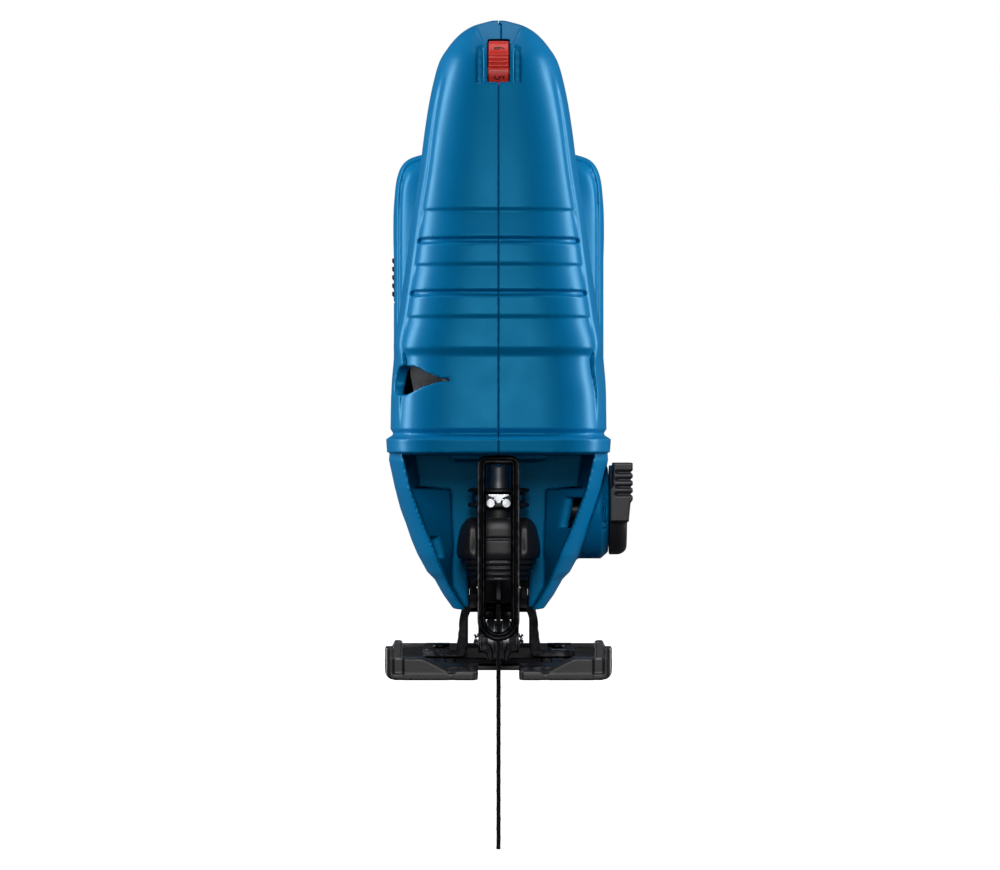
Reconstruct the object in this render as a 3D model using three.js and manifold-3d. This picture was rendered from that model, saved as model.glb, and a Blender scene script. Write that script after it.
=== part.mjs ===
// Cordless bow-handle jigsaw, as a bare tool without its battery pack.
// Millimetres, +Z up. The blade cuts towards -Y, the orbital lever is on the +X side,
// and the origin is the centre of the shoe's underside.
import * as THREE from "three";
import { mergeVertices } from "three/addons/utils/BufferGeometryUtils.js";
import Module from "manifold-3d";

const wasm = await Module();
wasm.setup();

// Shared clearances and finishes
const GAP = 0.3; // between pieces that rest on each other
const WALL = 2.5; // housing wall
const SIDES = 16; // facets of an ordinary round
const BODY_SIDES = 20; // facets round a housing section

// Cutting line: plunger, blade and guide roller
const BLADE_Y = -34;
const PLUNGER = { radius: 3.5, bottom: 58, top: 146 };
const BLADE = { top: 57.4, toothTop: 22, bottom: -55.9, back: -30, front: -38, thick: 1.4, teeth: 26 };
const CLAMP = { top: 59, bottom: 46, flange: 9.8, tube: 5.9, hingeY: -44, hingeZ: 51 };
const ROLLER = { radius: 6.5, y: -23.2, z: 10.5, halfWidth: 3.9, pinRadius: 1.9 };
const FORK = { pivotY: -17.5, pivotZ: 32 };
const GUARD = { y: -64, outer: 6.6, inner: 3.9, bottom: 11.4, top: 69.4 };

// Drive: a pinion turns the drive gear, whose crank pin lifts the yoke
const GEAR = { z: 98, radius: 24.3, root: 23.2, teeth: 48, front: -15, back: -7 };
const PINION = { radius: 3.4, teeth: 8 };
const MOTOR_Z = GEAR.z - 28;
const CRANK = { throw: 10, pinRadius: 2.6, rollerRadius: 4, tip: -25.6 };
const YOKE = { halfWidth: 18, halfHeight: 6, front: -40, back: -26 };
const CUP = { inner: 25.6, outer: 28.4, front: -20.8, back: -2 };
const COVER = { front: -24.5, back: -21.5, window: 15.2 };
const CAN = { outer: 26, inner: 23.6, front: 18, back: 72 };

// Shoe and bevel bracket; the shoe tilts about the line x = 0, z = BEVEL.z
const SHOE = { halfWidth: 35.3, front: -80, back: 80, sole: 1.6, plateTop: 4 };
const SLOT = { narrow: 6.4, wide: 17, neck: -52, end: -12 };
const BRACKET_SCREW_Y = 6;
const BEVEL = { z: 14.5, inner: 10.1, outer: 12.8, front: -11, back: 40, saddle: 14.2 };

// Controls
const LEVER = { y: -30, z: 52, inner: 35.2, outer: 42.5, radius: 14.2 };
const DIAL = { y: -38, z: 191, radius: 10, halfWidth: 3.1 };
const TRIGGER = { pivotY: 44, pivotZ: 170, halfWidth: 8 };
const LOCK = { y: 62, z: 178, radius: 4.5 };

// Housing outlines. Front column and hood: [height, half-width, front, back].
const COLUMN = [
  [208.2, 3, -30, -14],
  [206.6, 8.6, -34.5, -4],
  [204.2, 12.5, -38, 4],
  [200, 16.2, -42, 7],
  [195.3, 19, -45.5, 7],
  [189.4, 20.7, -48, 6],
  [182, 22.2, -50, 2],
  [172.5, 23.6, -52.5, -4],
  [160, 25.1, -55.5, -9],
  [148, 27, -58, -8],
  [130, 29.5, -61.5, 4],
  [113, 31.9, -64, 13],
  [104, 33.4, -65, 16],
  [99, 33.1, -65.5, 18],
  [88, 34.2, -66.8, 18],
  [75, 34.4, -68, 18],
];
const HOOD = [
  [75, 34.4, -69, 44],
  [68, 35, -70, 44],
  [59, 33.1, -68, 44],
  [51.5, 30.9, -65.5, 44],
  [42.5, 27.9, -62.5, 43],
  [38, 26, -61.5, 42],
  [32.3, 22.9, -59, 41],
  [30, 20.6, -58.4, 40],
  [25, 17.8, -56, 39],
  [20.8, 14.8, -54, 38],
];
// Open cavity in the front of the hood: [height, half-width at the mouth, half-width of the channel].
// The first two rows are a wide recess above a shelf; the third row is the edge of that shelf.
const CAVITY = [
  [69.8, 30, 27],
  [59.2, 27.6, 25.5],
  [58.6, 27.4, 15.5],
  [47.3, 23.2, 15],
  [39.5, 19.8, 14.5],
  [36, 18.4, 15],
  [28, 15.2, 14.8],
  [24, 12.8, 12.6],
  [20.8, 10.6, 10.6],
  [16, 10.6, 10.6],
];
const CAVITY_SHELF_ROWS = [1, 2];
const CAVITY_BACK = -23.6;
const CAVITY_SHOULDER = -46;
const RIM = { halfWidth: 35.7, front: -72, back: 20, bottom: 70.4, top: 75.4 };
// Bars that run along Y: [y, half-width, bottom, top].
const HANDLE = [
  [-24, 15, 172, 204.5],
  [-6, 18.4, 169, 207],
  [14, 18.6, 168.5, 206],
  [34, 18, 167, 203.4],
  [54, 17, 163.5, 199],
  [74, 16.6, 159, 193.5],
  [94, 17.2, 153, 187.6],
  [108, 19.5, 146, 183],
  [122, 25, 136, 178.5],
  [134, 31, 126, 174],
];
const BARREL = [
  [-20, 29, 42, 99],
  [0, 32.4, 37.5, 102.5],
  [60, 32.4, 37.5, 102.5],
  [96, 33, 38, 103],
  [116, 34.6, 46, 108],
  [130, 36, 56, 112],
];
const BRACKET_POWER = 9; // nearly square
const BRACKET = [
  [110, 27, 74, 158],
  [116, 34, 64, 169],
  [124, 36.4, 60, 173.4],
  [147, 36.5, 60, 174],
];
const MOUNT_FACE_Y = 142;

// Screws that close the two housing halves: [y, z].
const HOUSING_SCREWS = [
  [-54, 93],
  [-20, 178],
  [92, 170],
  [100, 46],
  [126, 66],
];

const FINISHES = {
  housing: [0x0072a6, 0.45, 0],
  black_plastic: [0x1b1b1f, 0.5, 0],
  red_plastic: [0xe02418, 0.4, 0],
  rubber: [0x232326, 0.85, 0],
  steel: [0x9a9ca0, 0.35, 1],
  dark_steel: [0x2b2c30, 0.4, 1],
  chrome: [0xd0d2d6, 0.15, 1],
  aluminium: [0xa6a8aa, 0.4, 1],
  copper: [0xb06a3a, 0.35, 1],
  brass: [0xb89a52, 0.35, 1],
  magnet: [0x3a3a3e, 0.7, 0],
  board: [0x1c5a34, 0.6, 0],
  coated_steel: [0x18181b, 0.4, 0.6],
};

// ---- Solids -------------------------------------------------------------------------------

const AXES = {
  x: [new THREE.Vector3(0, 1, 0), new THREE.Vector3(0, 0, 1), new THREE.Vector3(1, 0, 0)],
  y: [new THREE.Vector3(0, 0, 1), new THREE.Vector3(1, 0, 0), new THREE.Vector3(0, 1, 0)],
  z: [new THREE.Vector3(1, 0, 0), new THREE.Vector3(0, 1, 0), new THREE.Vector3(0, 0, 1)],
};

function solid(geometry) {
  const bare = (geometry.index ? geometry.toNonIndexed() : geometry.clone())
    .deleteAttribute("normal")
    .deleteAttribute("uv");
  const merged = mergeVertices(bare, 1e-4);
  const corners = Uint32Array.from(merged.index.array);
  const mesh = { numProp: 3, vertProperties: merged.attributes.position.array, triVerts: corners };
  const made = new wasm.Manifold(new wasm.Mesh(mesh));
  if (made.volume() > 0) return made;
  return new wasm.Manifold(new wasm.Mesh({ ...mesh, triVerts: corners.reverse() }));
}

function join(...solids) {
  return solids.reduce((sum, next) => sum.add(next));
}

function cut(body, ...tools) {
  return tools.reduce((rest, tool) => rest.subtract(tool), body);
}

function block(x0, x1, y0, y1, z0, z1) {
  const geometry = new THREE.BoxGeometry(x1 - x0, y1 - y0, z1 - z0);
  geometry.translate((x0 + x1) / 2, (y0 + y1) / 2, (z0 + z1) / 2);
  return solid(geometry);
}

// A block that is symmetric about the mid-plane.
function bar(halfWidth, y0, y1, z0, z1) {
  return block(-halfWidth, halfWidth, y0, y1, z0, z1);
}

// An outline swept straight along an axis; its points are [y, z], [x, z] or [x, y].
function prism(axis, outline, from, to) {
  const points = outline.map(([u, v]) => (axis === "y" ? new THREE.Vector2(v, u) : new THREE.Vector2(u, v)));
  const geometry = new THREE.ExtrudeGeometry(new THREE.Shape(points), {
    depth: to - from,
    bevelEnabled: false,
  });
  geometry.translate(0, 0, from);
  geometry.applyMatrix4(new THREE.Matrix4().makeBasis(...AXES[axis]));
  return solid(geometry);
}

function circle(radius, sides, centre = [0, 0]) {
  return Array.from({ length: sides }, (_, i) => {
    const angle = ((i + 0.5) / sides) * 2 * Math.PI;
    return [centre[0] + radius * Math.cos(angle), centre[1] + radius * Math.sin(angle)];
  });
}

function rod(axis, radius, from, to, centre, sides = SIDES) {
  return prism(axis, circle(radius, sides, centre), from, to);
}

function tube(axis, outer, inner, from, to, centre, sides = SIDES) {
  return cut(rod(axis, outer, from, to, centre, sides), rod(axis, inner, from - 1, to + 1, centre, sides));
}

// A turned piece: [radius, distance along the axis] from end to end.
function turned(axis, profile, centre = [0, 0], sides = SIDES) {
  const points = profile.map(([radius, along]) => new THREE.Vector2(radius, along));
  const closed = [new THREE.Vector2(0, points[0].y), ...points, new THREE.Vector2(0, points.at(-1).y)];
  const geometry = new THREE.LatheGeometry(closed, sides);
  if (axis === "x") geometry.rotateZ(-Math.PI / 2).translate(0, centre[0], centre[1]);
  if (axis === "y") geometry.translate(centre[0], 0, centre[1]);
  if (axis === "z") geometry.rotateX(Math.PI / 2).translate(centre[0], centre[1], 0);
  return solid(geometry);
}

// A skin over rings of equal length, closed at both ends.
function loft(rings) {
  const count = rings[0].length;
  const positions = rings.flat(2);
  const index = [];
  for (let ring = 0; ring + 1 < rings.length; ring++) {
    for (let i = 0; i < count; i++) {
      const a = ring * count + i;
      const b = ring * count + ((i + 1) % count);
      index.push(a, b, b + count, a, b + count, a + count);
    }
  }
  for (let i = 1; i + 1 < count; i++) {
    const last = (rings.length - 1) * count;
    index.push(0, i + 1, i, last, last + i, last + i + 1);
  }
  const geometry = new THREE.BufferGeometry();
  geometry.setAttribute("position", new THREE.Float32BufferAttribute(positions, 3));
  geometry.setIndex(index);
  return solid(geometry);
}

// Points of a rounded oblong; a higher power makes it squarer.
function oblong(power, sides, place) {
  const flatten = (value) => Math.sign(value) * Math.abs(value) ** (2 / power);
  return Array.from({ length: sides }, (_, i) => {
    const angle = ((i + 0.5) / sides) * 2 * Math.PI;
    return place(flatten(Math.cos(angle)), flatten(Math.sin(angle)));
  });
}

// Upright body from rows of [height, half-width, front, back], drawn in by inset on every side.
function upright(rows, power, inset = 0, sides = BODY_SIDES) {
  const rings = rows.map(([z, halfWidth, front, back], i) => {
    const trim = i === 0 ? -inset : i === rows.length - 1 ? inset : 0;
    const middle = (front + back) / 2;
    const depth = Math.max((back - front) / 2 - inset, 0.5);
    const width = Math.max(halfWidth - inset, 0.5);
    return oblong(power, sides, (u, v) => [width * u, middle + depth * v, z + trim]);
  });
  return loft(rings);
}

// Lying body from rows of [y, half-width, bottom, top], drawn in by inset on every side.
function lying(rows, power, inset = 0, sides = BODY_SIDES) {
  const rings = rows.map(([y, halfWidth, bottom, top]) => {
    const middle = (bottom + top) / 2;
    const height = (top - bottom) / 2 - inset;
    return oblong(power, sides, (u, v) => [(halfWidth - inset) * u, y, middle + height * v]);
  });
  return loft(rings);
}

// ---- Scene graph --------------------------------------------------------------------------

const jigsaw = new THREE.Group();

function geometryOf(made) {
  const { vertProperties, triVerts } = made.getMesh();
  const geometry = new THREE.BufferGeometry();
  geometry.setAttribute("position", new THREE.BufferAttribute(new Float32Array(vertProperties), 3));
  geometry.setIndex(new THREE.BufferAttribute(new Uint32Array(triVerts), 1));
  geometry.computeVertexNormals();
  return geometry;
}

function add(name, made, finish) {
  const [color, roughness, metalness] = FINISHES[finish];
  const material = new THREE.MeshStandardMaterial({ color, roughness, metalness });
  const mesh = new THREE.Mesh(geometryOf(made), material);
  mesh.name = name;
  jigsaw.add(mesh);
  return mesh;
}

// ---- Housing ------------------------------------------------------------------------------

// The cavity, grown on every side; the shelf goes down with it.
function cavity(grow) {
  const rings = CAVITY.map(([z, mouth, channel], i) => {
    const lift = i === 0 ? grow : 0;
    const drop = CAVITY_SHELF_ROWS.includes(i) ? grow : 0;
    const height = z + lift - drop;
    const front = -90;
    const back = CAVITY_BACK + grow;
    const wide = mouth + grow;
    const slim = channel + grow;
    const shoulder = CAVITY_SHOULDER + grow;
    const right = [[wide, front], [wide, shoulder], [slim, shoulder + 12], [slim, back]];
    const left = right.map(([x, y]) => [-x, y]).reverse();
    return [...right, ...left].map(([x, y]) => [x, y, height]);
  });
  return loft(rings);
}

function leverBoss() {
  return turned("x", [[15.5, 20], [15.5, 32.6], [13.4, 34.9]], [LEVER.y, LEVER.z], 24);
}

function outerBody() {
  const rim = upright(
    [
      [RIM.top, 34.4, RIM.front + 3, RIM.back],
      [RIM.top - 0.8, RIM.halfWidth, RIM.front, RIM.back],
      [RIM.bottom, RIM.halfWidth - 0.3, RIM.front, RIM.back],
    ],
    3.4,
  );
  return join(
    upright(COLUMN, 3),
    upright(HOOD, 4.5),
    rim,
    lying(HANDLE, 2.4),
    lying(BARREL, 3),
    lying(BRACKET, BRACKET_POWER),
    leverBoss(),
  );
}

// The same rows with one end moved out, so that the hollow runs on through that end.
function opened(rows, end, distance) {
  return rows.map((row, i) => (i === end ? [row[0] + distance, ...row.slice(1)] : row));
}

function innerBody() {
  const hollows = join(
    upright(opened(COLUMN, COLUMN.length - 1, -WALL - 1), 3, WALL),
    upright(opened(HOOD, 0, WALL + 1), 4.5, WALL),
    lying(HANDLE, 2.4, WALL),
    lying(BARREL, 3, WALL),
    lying(opened(BRACKET, BRACKET.length - 1, 10), BRACKET_POWER, WALL),
  );
  return cut(hollows, cavity(WALL));
}

function screwBosses(outer) {
  const posts = HOUSING_SCREWS.map(([y, z]) => rod("x", 4.6, -40, 40, [y, z], 12));
  return join(...posts).intersect(outer);
}

function housing() {
  const outer = outerBody();
  const shell = join(cut(outer, innerBody()), screwBosses(outer));
  const screwHoles = HOUSING_SCREWS.flatMap(([y, z]) => [
    rod("x", 2.2, -40, 16, [y, z], 12),
    rod("x", 3.9, -40, -10, [y, z], 12),
  ]);
  return cut(
    shell,
    cavity(0),
    bar(14, -44, -5, 69, 73), // way through the cavity roof for the plunger and its bearing
    bar(9.7, -24.5, 34.4, 18, 38.6), // way out for the gearcase nose
    rod("y", BEVEL.saddle, BEVEL.front - 3, 64, [0, BEVEL.z], 32),
    rod("x", DIAL.radius + 0.7, -DIAL.halfWidth - 0.5, DIAL.halfWidth + 0.5, [DIAL.y, DIAL.z], 24),
    bar(TRIGGER.halfWidth + 0.5, 8, 48, 155, 174),
    rod("x", LOCK.radius + 0.4, -30, 0, [LOCK.y, LOCK.z]),
    rod("x", 3.4, 10, 40, [LEVER.y, LEVER.z]),
    block(-38, -35.2, 122, 140, 122, 138), // seat of the side pad
    bar(33.6, 139.6, 150, 69.6, 168.4), // seat of the battery mount
    ...screwHoles,
  );
}

const shell = housing();
const SPLIT = 0.15;
add("housing_left", shell.intersect(block(-60, -SPLIT, -100, 160, 0, 220)), "housing");
add("housing_right", shell.intersect(block(SPLIT, 60, -100, 160, 0, 220)), "housing");

HOUSING_SCREWS.forEach(([y, z], i) => {
  const screw = turned("x", [[3.3, -14], [3.3, -10.4], [1.8, -10.4], [1.8, 15], [0.8, 15.6]], [y, z], 12);
  add(`housing_screw_${i + 1}`, screw, "dark_steel");
});

// Soft saddle over the top of the handle bar
function handleGrip() {
  const sleeve = cut(lying(HANDLE, 2.4, -1.6), lying(HANDLE, 2.4, -GAP));
  const reach = prism("x", [[16, 190], [16, 220], [98, 220], [98, 175], [70, 184.4], [54, 186]], -40, 40);
  return sleeve.intersect(reach);
}
add("handle_grip", handleGrip(), "rubber");

// Ribbed pad let into the side of the battery bracket
function sidePad() {
  const backing = block(-36.4, -35.5, 122.3, 139.7, 122.3, 137.7);
  const ribs = Array.from({ length: 5 }, (_, i) => {
    const z = 124.2 + i * 2.9;
    return block(-37, -36.3, 123, 139, z, z + 1.4);
  });
  return join(backing, ...ribs);
}
add("side_pad", sidePad(), "rubber");

// ---- Battery interface --------------------------------------------------------------------

function batteryMount() {
  return cut(
    bar(33.2, 139.9, 146.8, 70, 168),
    bar(25, MOUNT_FACE_Y, 150, 60, 162),
    bar(29, MOUNT_FACE_Y, 144.4, 60, 162),
    bar(13.3, 139, 143, 115.7, 150.3),
  );
}
add("battery_mount", batteryMount(), "black_plastic");

function terminalBlock() {
  const slots = [-9, -4.5, 0, 4.5, 9].map((x) => block(x - 0.7, x + 0.7, 133, 150, 118, 144));
  return cut(bar(13, 134, 146, 116, 150), ...slots);
}
add("terminal_block", terminalBlock(), "black_plastic");

function contactStrip() {
  const blades = [-9, -4.5, 0, 4.5, 9].map((x) => block(x - 0.4, x + 0.4, 130.5, 144, 120, 142));
  return join(bar(11, 129.5, 131, 119, 143), ...blades);
}
add("battery_contacts", contactStrip(), "copper");

function controller() {
  return join(
    bar(20, 118, 119.6, 74, 108),
    bar(9, 113, 118.2, 80, 102),
    block(11, 18, 111, 118.2, 78, 90),
  );
}
add("controller_board", controller(), "board");

function heatSink() {
  const fins = [-15, -9, -3, 3, 9, 15].map((x) => block(x - 1, x + 1, 121, 128, 76, 106));
  return join(bar(18, 120, 121.5, 75, 107), ...fins);
}
add("heat_sink", heatSink(), "aluminium");

// ---- Controls -----------------------------------------------------------------------------

// Paddle that swings up into the handle about its rear end
function trigger() {
  const side = [[11, 172], [10.6, 165], [14, 159], [24, 158], [36, 161.5], [44, 166.5], [46, 170], [44, 173]];
  return prism("x", side, -TRIGGER.halfWidth, TRIGGER.halfWidth);
}
add("trigger", trigger(), "black_plastic");

add(
  "switch_module",
  cut(bar(10, 8, 50, 181.5, 191), rod("x", 4, -12, -5, [30, 186], 12)),
  "black_plastic",
);

add(
  "lock_button",
  turned("x", [[3.6, -20.4], [LOCK.radius, -19.6], [LOCK.radius, -14], [2.4, -14], [2.4, -3]], [LOCK.y, LOCK.z]),
  "black_plastic",
);

// Thumb wheel with a knurled edge, half sunk in the crown of the housing
function speedDial() {
  const rim = Array.from({ length: 56 }, (_, i) => {
    const angle = (i / 56) * 2 * Math.PI;
    const radius = DIAL.radius - (i % 2) * 0.45;
    return [DIAL.y + radius * Math.cos(angle), DIAL.z + radius * Math.sin(angle)];
  });
  const axle = [[1.8, -6.2], [1.8, 6.2]];
  return join(prism("x", rim, -DIAL.halfWidth, DIAL.halfWidth), turned("x", axle, [DIAL.y, DIAL.z], 12));
}
add("speed_dial", speedDial(), "red_plastic");

// Orbital selector: a disc with a finger block over its front edge
function orbitalLever() {
  const disc = turned("x", [[3, 21], [3, LEVER.inner], [LEVER.radius, LEVER.inner],
    [LEVER.radius, 39.4], [11, 40.8]], [LEVER.y, LEVER.z], 24);
  const side = [[35.2, 48.5], [41.6, 48.5], [LEVER.outer, 52], [LEVER.outer, 67.1], [36.2, 67.1], [36.2, 60], [35.2, 59]];
  return join(disc, prism("y", side, -46, -24));
}
add("orbital_lever", orbitalLever(), "black_plastic");

// ---- Motor --------------------------------------------------------------------------------

const MOTOR_AXIS = [0, MOTOR_Z];
add("motor_can", tube("y", CAN.outer, CAN.inner, CAN.front, CAN.back, MOTOR_AXIS, 28), "steel");
for (const [side, sign] of [["left", -1], ["right", 1]]) {
  const ring = tube("y", CAN.inner - GAP, 18.8, CAN.front + 6, CAN.back - 6, MOTOR_AXIS, 28);
  const reach = sign < 0 ? block(-30, -8, 0, 90, 40, 100) : block(8, 30, 0, 90, 40, 100);
  add(`magnet_${side}`, ring.intersect(reach), "magnet");
}
add("armature_shaft", turned("y", [[2, -14.6], [2, -6.6], [3, -6.6], [3, 96], [2.4, 98]], MOTOR_AXIS, 16), "steel");
function armatureCore() {
  const slots = Array.from({ length: 10 }, (_, i) => {
    const angle = (i / 10) * 2 * Math.PI;
    return rod("y", 2.4, 20, 70, [16.6 * Math.cos(angle), MOTOR_Z + 16.6 * Math.sin(angle)], 4);
  });
  const core = turned("y", [[11, 20], [14, 26], [18, 26], [18, 62], [14, 62], [11, 68]], MOTOR_AXIS, 20);
  return cut(core, rod("y", 3.3, 10, 80, MOTOR_AXIS, 16), ...slots);
}
add("armature_core", armatureCore(), "copper");
add("commutator", tube("y", 9, 3.3, 74, 84, MOTOR_AXIS), "copper");
for (const [side, sign] of [["left", -1], ["right", 1]]) {
  const near = sign * 9.4;
  const far = sign * 20;
  add(`brush_${side}`, block(Math.min(near, far), Math.max(near, far), 76, 82, 66, 74), "dark_steel");
}
add("motor_end_cap", cut(
  turned("y", [[24, 86], [24, 90], [12, 90], [12, 97.5]], MOTOR_AXIS, 24),
  rod("y", 9.8, 85, 96, MOTOR_AXIS),
  rod("y", 3.6, 85, 99, MOTOR_AXIS, 16),
), "black_plastic");
add("rear_bearing", tube("y", 9.5, 3.3, 88, 95.5, MOTOR_AXIS), "steel");
add("front_bearing", tube("y", 9.5, 3.3, -1, 5, MOTOR_AXIS), "steel");
function fan() {
  const blades = Array.from({ length: 9 }, (_, i) => {
    const angle = (i / 9) * 2 * Math.PI;
    const along = [Math.cos(angle), Math.sin(angle)];
    const across = [-along[1] * 0.8, along[0] * 0.8];
    const corner = (reach, side) => [
      along[0] * reach + across[0] * side,
      MOTOR_Z + along[1] * reach + across[1] * side,
    ];
    return prism("y", [corner(6, -1), corner(23, -1), corner(23, 1), corner(6, 1)], 8, 15);
  });
  return cut(join(turned("y", [[23.4, 14], [23.4, 15.4]], MOTOR_AXIS, 24), rod("y", 7, 8, 15, MOTOR_AXIS), ...blades),
    rod("y", 3.3, 0, 20, MOTOR_AXIS, 16));
}
add("cooling_fan", fan(), "black_plastic");

// ---- Gear train ---------------------------------------------------------------------------

// Shallow-toothed wheel; the teeth stop just short of each other at the pitch line.
function gearOutline(teeth, root, tip, centre, phase) {
  return Array.from({ length: teeth * 2 }, (_, i) => {
    const angle = ((i / 2 + phase) / teeth) * 2 * Math.PI;
    const radius = i % 2 ? root : tip;
    return [centre[0] + radius * Math.cos(angle), centre[1] + radius * Math.sin(angle)];
  });
}

add("drive_pinion", cut(
  prism("y", gearOutline(PINION.teeth, 2.8, PINION.radius, MOTOR_AXIS, 0), GEAR.front, GEAR.back),
  rod("y", 2.2, -20, 0, MOTOR_AXIS, 16),
), "steel");

const GEAR_AXIS = [0, GEAR.z];
add("drive_gear", cut(
  prism("y", gearOutline(GEAR.teeth, GEAR.root, GEAR.radius, GEAR_AXIS, 0.5), GEAR.front, GEAR.back),
  rod("y", 4.3, -20, 0, GEAR_AXIS),
  rod("y", CRANK.pinRadius + GAP, -20, 0, [CRANK.throw, GEAR.z], 16),
), "steel");
add("gear_axle", turned("y", [[4, -16], [4, 4]], GEAR_AXIS), "steel");
add("crank_pin", turned("y", [[CRANK.pinRadius, CRANK.tip], [CRANK.pinRadius, GEAR.back - 0.4]],
  [CRANK.throw, GEAR.z], 16), "chrome");
add("crank_roller", tube("y", CRANK.rollerRadius, CRANK.pinRadius + GAP, CRANK.tip, COVER.back + 0.4,
  [CRANK.throw, GEAR.z]), "steel");

// Slides against the plunger to balance it, inside the gearcase cup
function counterweight() {
  return cut(
    rod("y", 21.2, -20, -16.4, [0, GEAR.z], 28),
    rod("y", 17, -21, -15, [0, GEAR.z], 28),
  );
}
add("counterweight", counterweight(), "steel");

function gearcase() {
  const cup = rod("y", CUP.outer, CUP.front, CUP.back, GEAR_AXIS, 32);
  const snout = rod("y", 12, CUP.front, 5.4, MOTOR_AXIS, 20);
  const spine = bar(8.6, CUP.front + 3, CUP.back, 30, 64);
  const keel = bar(9.3, -20.6, 34, 20.4, 40);
  const hollow = [
    rod("y", CUP.inner, CUP.front - 1, -5.6, GEAR_AXIS, 32),
    rod("y", 5, CUP.front - 1, 0, MOTOR_AXIS, 20),
    rod("y", 9.8, -1.4, 8, MOTOR_AXIS),
    rod("y", 4.3, -10, 5, GEAR_AXIS),
  ];
  return cut(
    join(cup, snout, spine, keel),
    ...hollow,
    rod("y", BEVEL.saddle, BEVEL.front - 2.5, 70, [0, BEVEL.z], 32),
    bar(7, -24, -9, 10, 38.4), // slot for the roller fork
    rod("z", 3.4, 10, 38, [0, 15]),
  );
}
add("gearcase", gearcase(), "black_plastic");

function gearCover() {
  return cut(
    join(
      rod("y", CUP.outer, COVER.front, COVER.back, GEAR_AXIS, 32),
      bar(9, -43, COVER.back, 122, 134),
      bar(9, -43, COVER.back, 71.2, 81),
    ),
    rod("y", COVER.window, -30, -20, GEAR_AXIS, 28),
    rod("z", 6.3, 70, 140, [0, BLADE_Y]),
  );
}
add("gear_cover", gearCover(), "aluminium");

// ---- Plunger, blade clamp and blade -------------------------------------------------------

const CUT_LINE = [0, BLADE_Y];
add("lower_bush", tube("z", 6, PLUNGER.radius + GAP, 71.2, 81, CUT_LINE), "brass");
add("upper_bush", tube("z", 6, PLUNGER.radius + GAP, 122, 134, CUT_LINE), "brass");
add("plunger", turned("z", [[PLUNGER.radius, PLUNGER.bottom], [PLUNGER.radius, PLUNGER.top]], CUT_LINE), "chrome");

function yoke() {
  const low = GEAR.z - YOKE.halfHeight;
  const high = GEAR.z + YOKE.halfHeight;
  return cut(
    join(bar(YOKE.halfWidth, -30.2, YOKE.back, low, high), bar(6.5, YOKE.front, -30, low, high)),
    bar(15, -30.1, YOKE.back + 1, GEAR.z - 4.4, GEAR.z + 4.4),
    rod("z", PLUNGER.radius + GAP, low - 1, high + 1, CUT_LINE),
  );
}
add("scotch_yoke", yoke(), "steel");

function clampBody() {
  const spool = [
    [CLAMP.tube, CLAMP.bottom],
    [CLAMP.tube, 53],
    [CLAMP.flange, 53],
    [CLAMP.flange, 54.4],
    [6.6, 54.4],
    [6.6, 57.6],
    [CLAMP.flange, 57.6],
    [CLAMP.flange, CLAMP.top],
  ];
  return cut(turned("z", spool, CUT_LINE), rod("z", PLUNGER.radius + GAP, 40, 70, CUT_LINE));
}
add("clamp_body", clampBody(), "black_plastic");
add("clamp_ring", tube("z", 8.8, 6.9, 54.7, 57.3, CUT_LINE), "chrome");

// Hooded lever around the blade shank, open at the back
function clampLever() {
  const rows = [
    [50.2, 9.6, -52, -27],
    [46, 12.2, -53, -26],
    [39, 13.3, -53, -26],
    [35, 11.6, -51.6, -26.6],
    [30, 9.3, -49.4, -27.4],
  ];
  return cut(upright(rows, 3, 0, 20), bar(6.4, -46, -20, 20, 60));
}
add("clamp_lever", clampLever(), "black_plastic");

function bladeOutline() {
  const pitch = (BLADE.toothTop - BLADE.bottom) / BLADE.teeth;
  const teeth = Array.from({ length: BLADE.teeth }, (_, i) => {
    const z = BLADE.bottom + i * pitch;
    return [[BLADE.front, z + 0.4], [BLADE.front + 1.6, z + pitch]];
  }).flat();
  return [
    [BLADE.back - 2.4, BLADE.bottom],
    ...teeth,
    [BLADE.front, 25],
    [-36.6, 30],
    [-36.6, 53.4],
    [-37.4, 53.4],
    [-37.4, BLADE.top],
    [-30.6, BLADE.top],
    [-30.6, 53.4],
    [-31.4, 53.4],
    [-31.4, 30],
    [BLADE.back, 25],
    [BLADE.back, BLADE.bottom + 6],
  ];
}
add("blade", prism("x", bladeOutline(), -BLADE.thick / 2, BLADE.thick / 2), "dark_steel");

// ---- Guide roller and guard ---------------------------------------------------------------

function rollerFork() {
  const side = [
    [FORK.pivotY - 4, FORK.pivotZ + 4],
    [FORK.pivotY + 4, FORK.pivotZ + 4],
    [FORK.pivotY + 4, FORK.pivotZ - 8],
    [-16.4, 12],
    [-18.6, 6.2],
    [-26.4, 6.2],
    [-28, 10],
    [-26, 16],
    [FORK.pivotY - 3.2, 22],
  ];
  const gap = bar(4.3, -40, -14.2, 0, 20.4);
  return cut(
    prism("x", side, -6.5, 6.5),
    gap,
    rod("x", ROLLER.pinRadius + GAP, -10, 10, [ROLLER.y, ROLLER.z], 14),
    rod("x", 2.3, -10, 10, [FORK.pivotY, FORK.pivotZ], 14),
  );
}
add("roller_fork", rollerFork(), "coated_steel");
add("fork_pin", rod("x", 2, -6.8, 6.8, [FORK.pivotY, FORK.pivotZ], 14), "steel");
add("roller_pin", rod("x", ROLLER.pinRadius, -8, 8, [ROLLER.y, ROLLER.z], 14), "chrome");

function guideRoller() {
  const profile = [
    [ROLLER.radius, -ROLLER.halfWidth],
    [ROLLER.radius, -1.2],
    [ROLLER.radius - 0.5, -1.2],
    [ROLLER.radius - 0.5, 1.2],
    [ROLLER.radius, 1.2],
    [ROLLER.radius, ROLLER.halfWidth],
  ];
  return cut(
    turned("x", profile, [ROLLER.y, ROLLER.z], 24),
    rod("x", ROLLER.pinRadius + GAP, -10, 10, [ROLLER.y, ROLLER.z], 14),
  );
}
add("guide_roller", guideRoller(), "steel");

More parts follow.
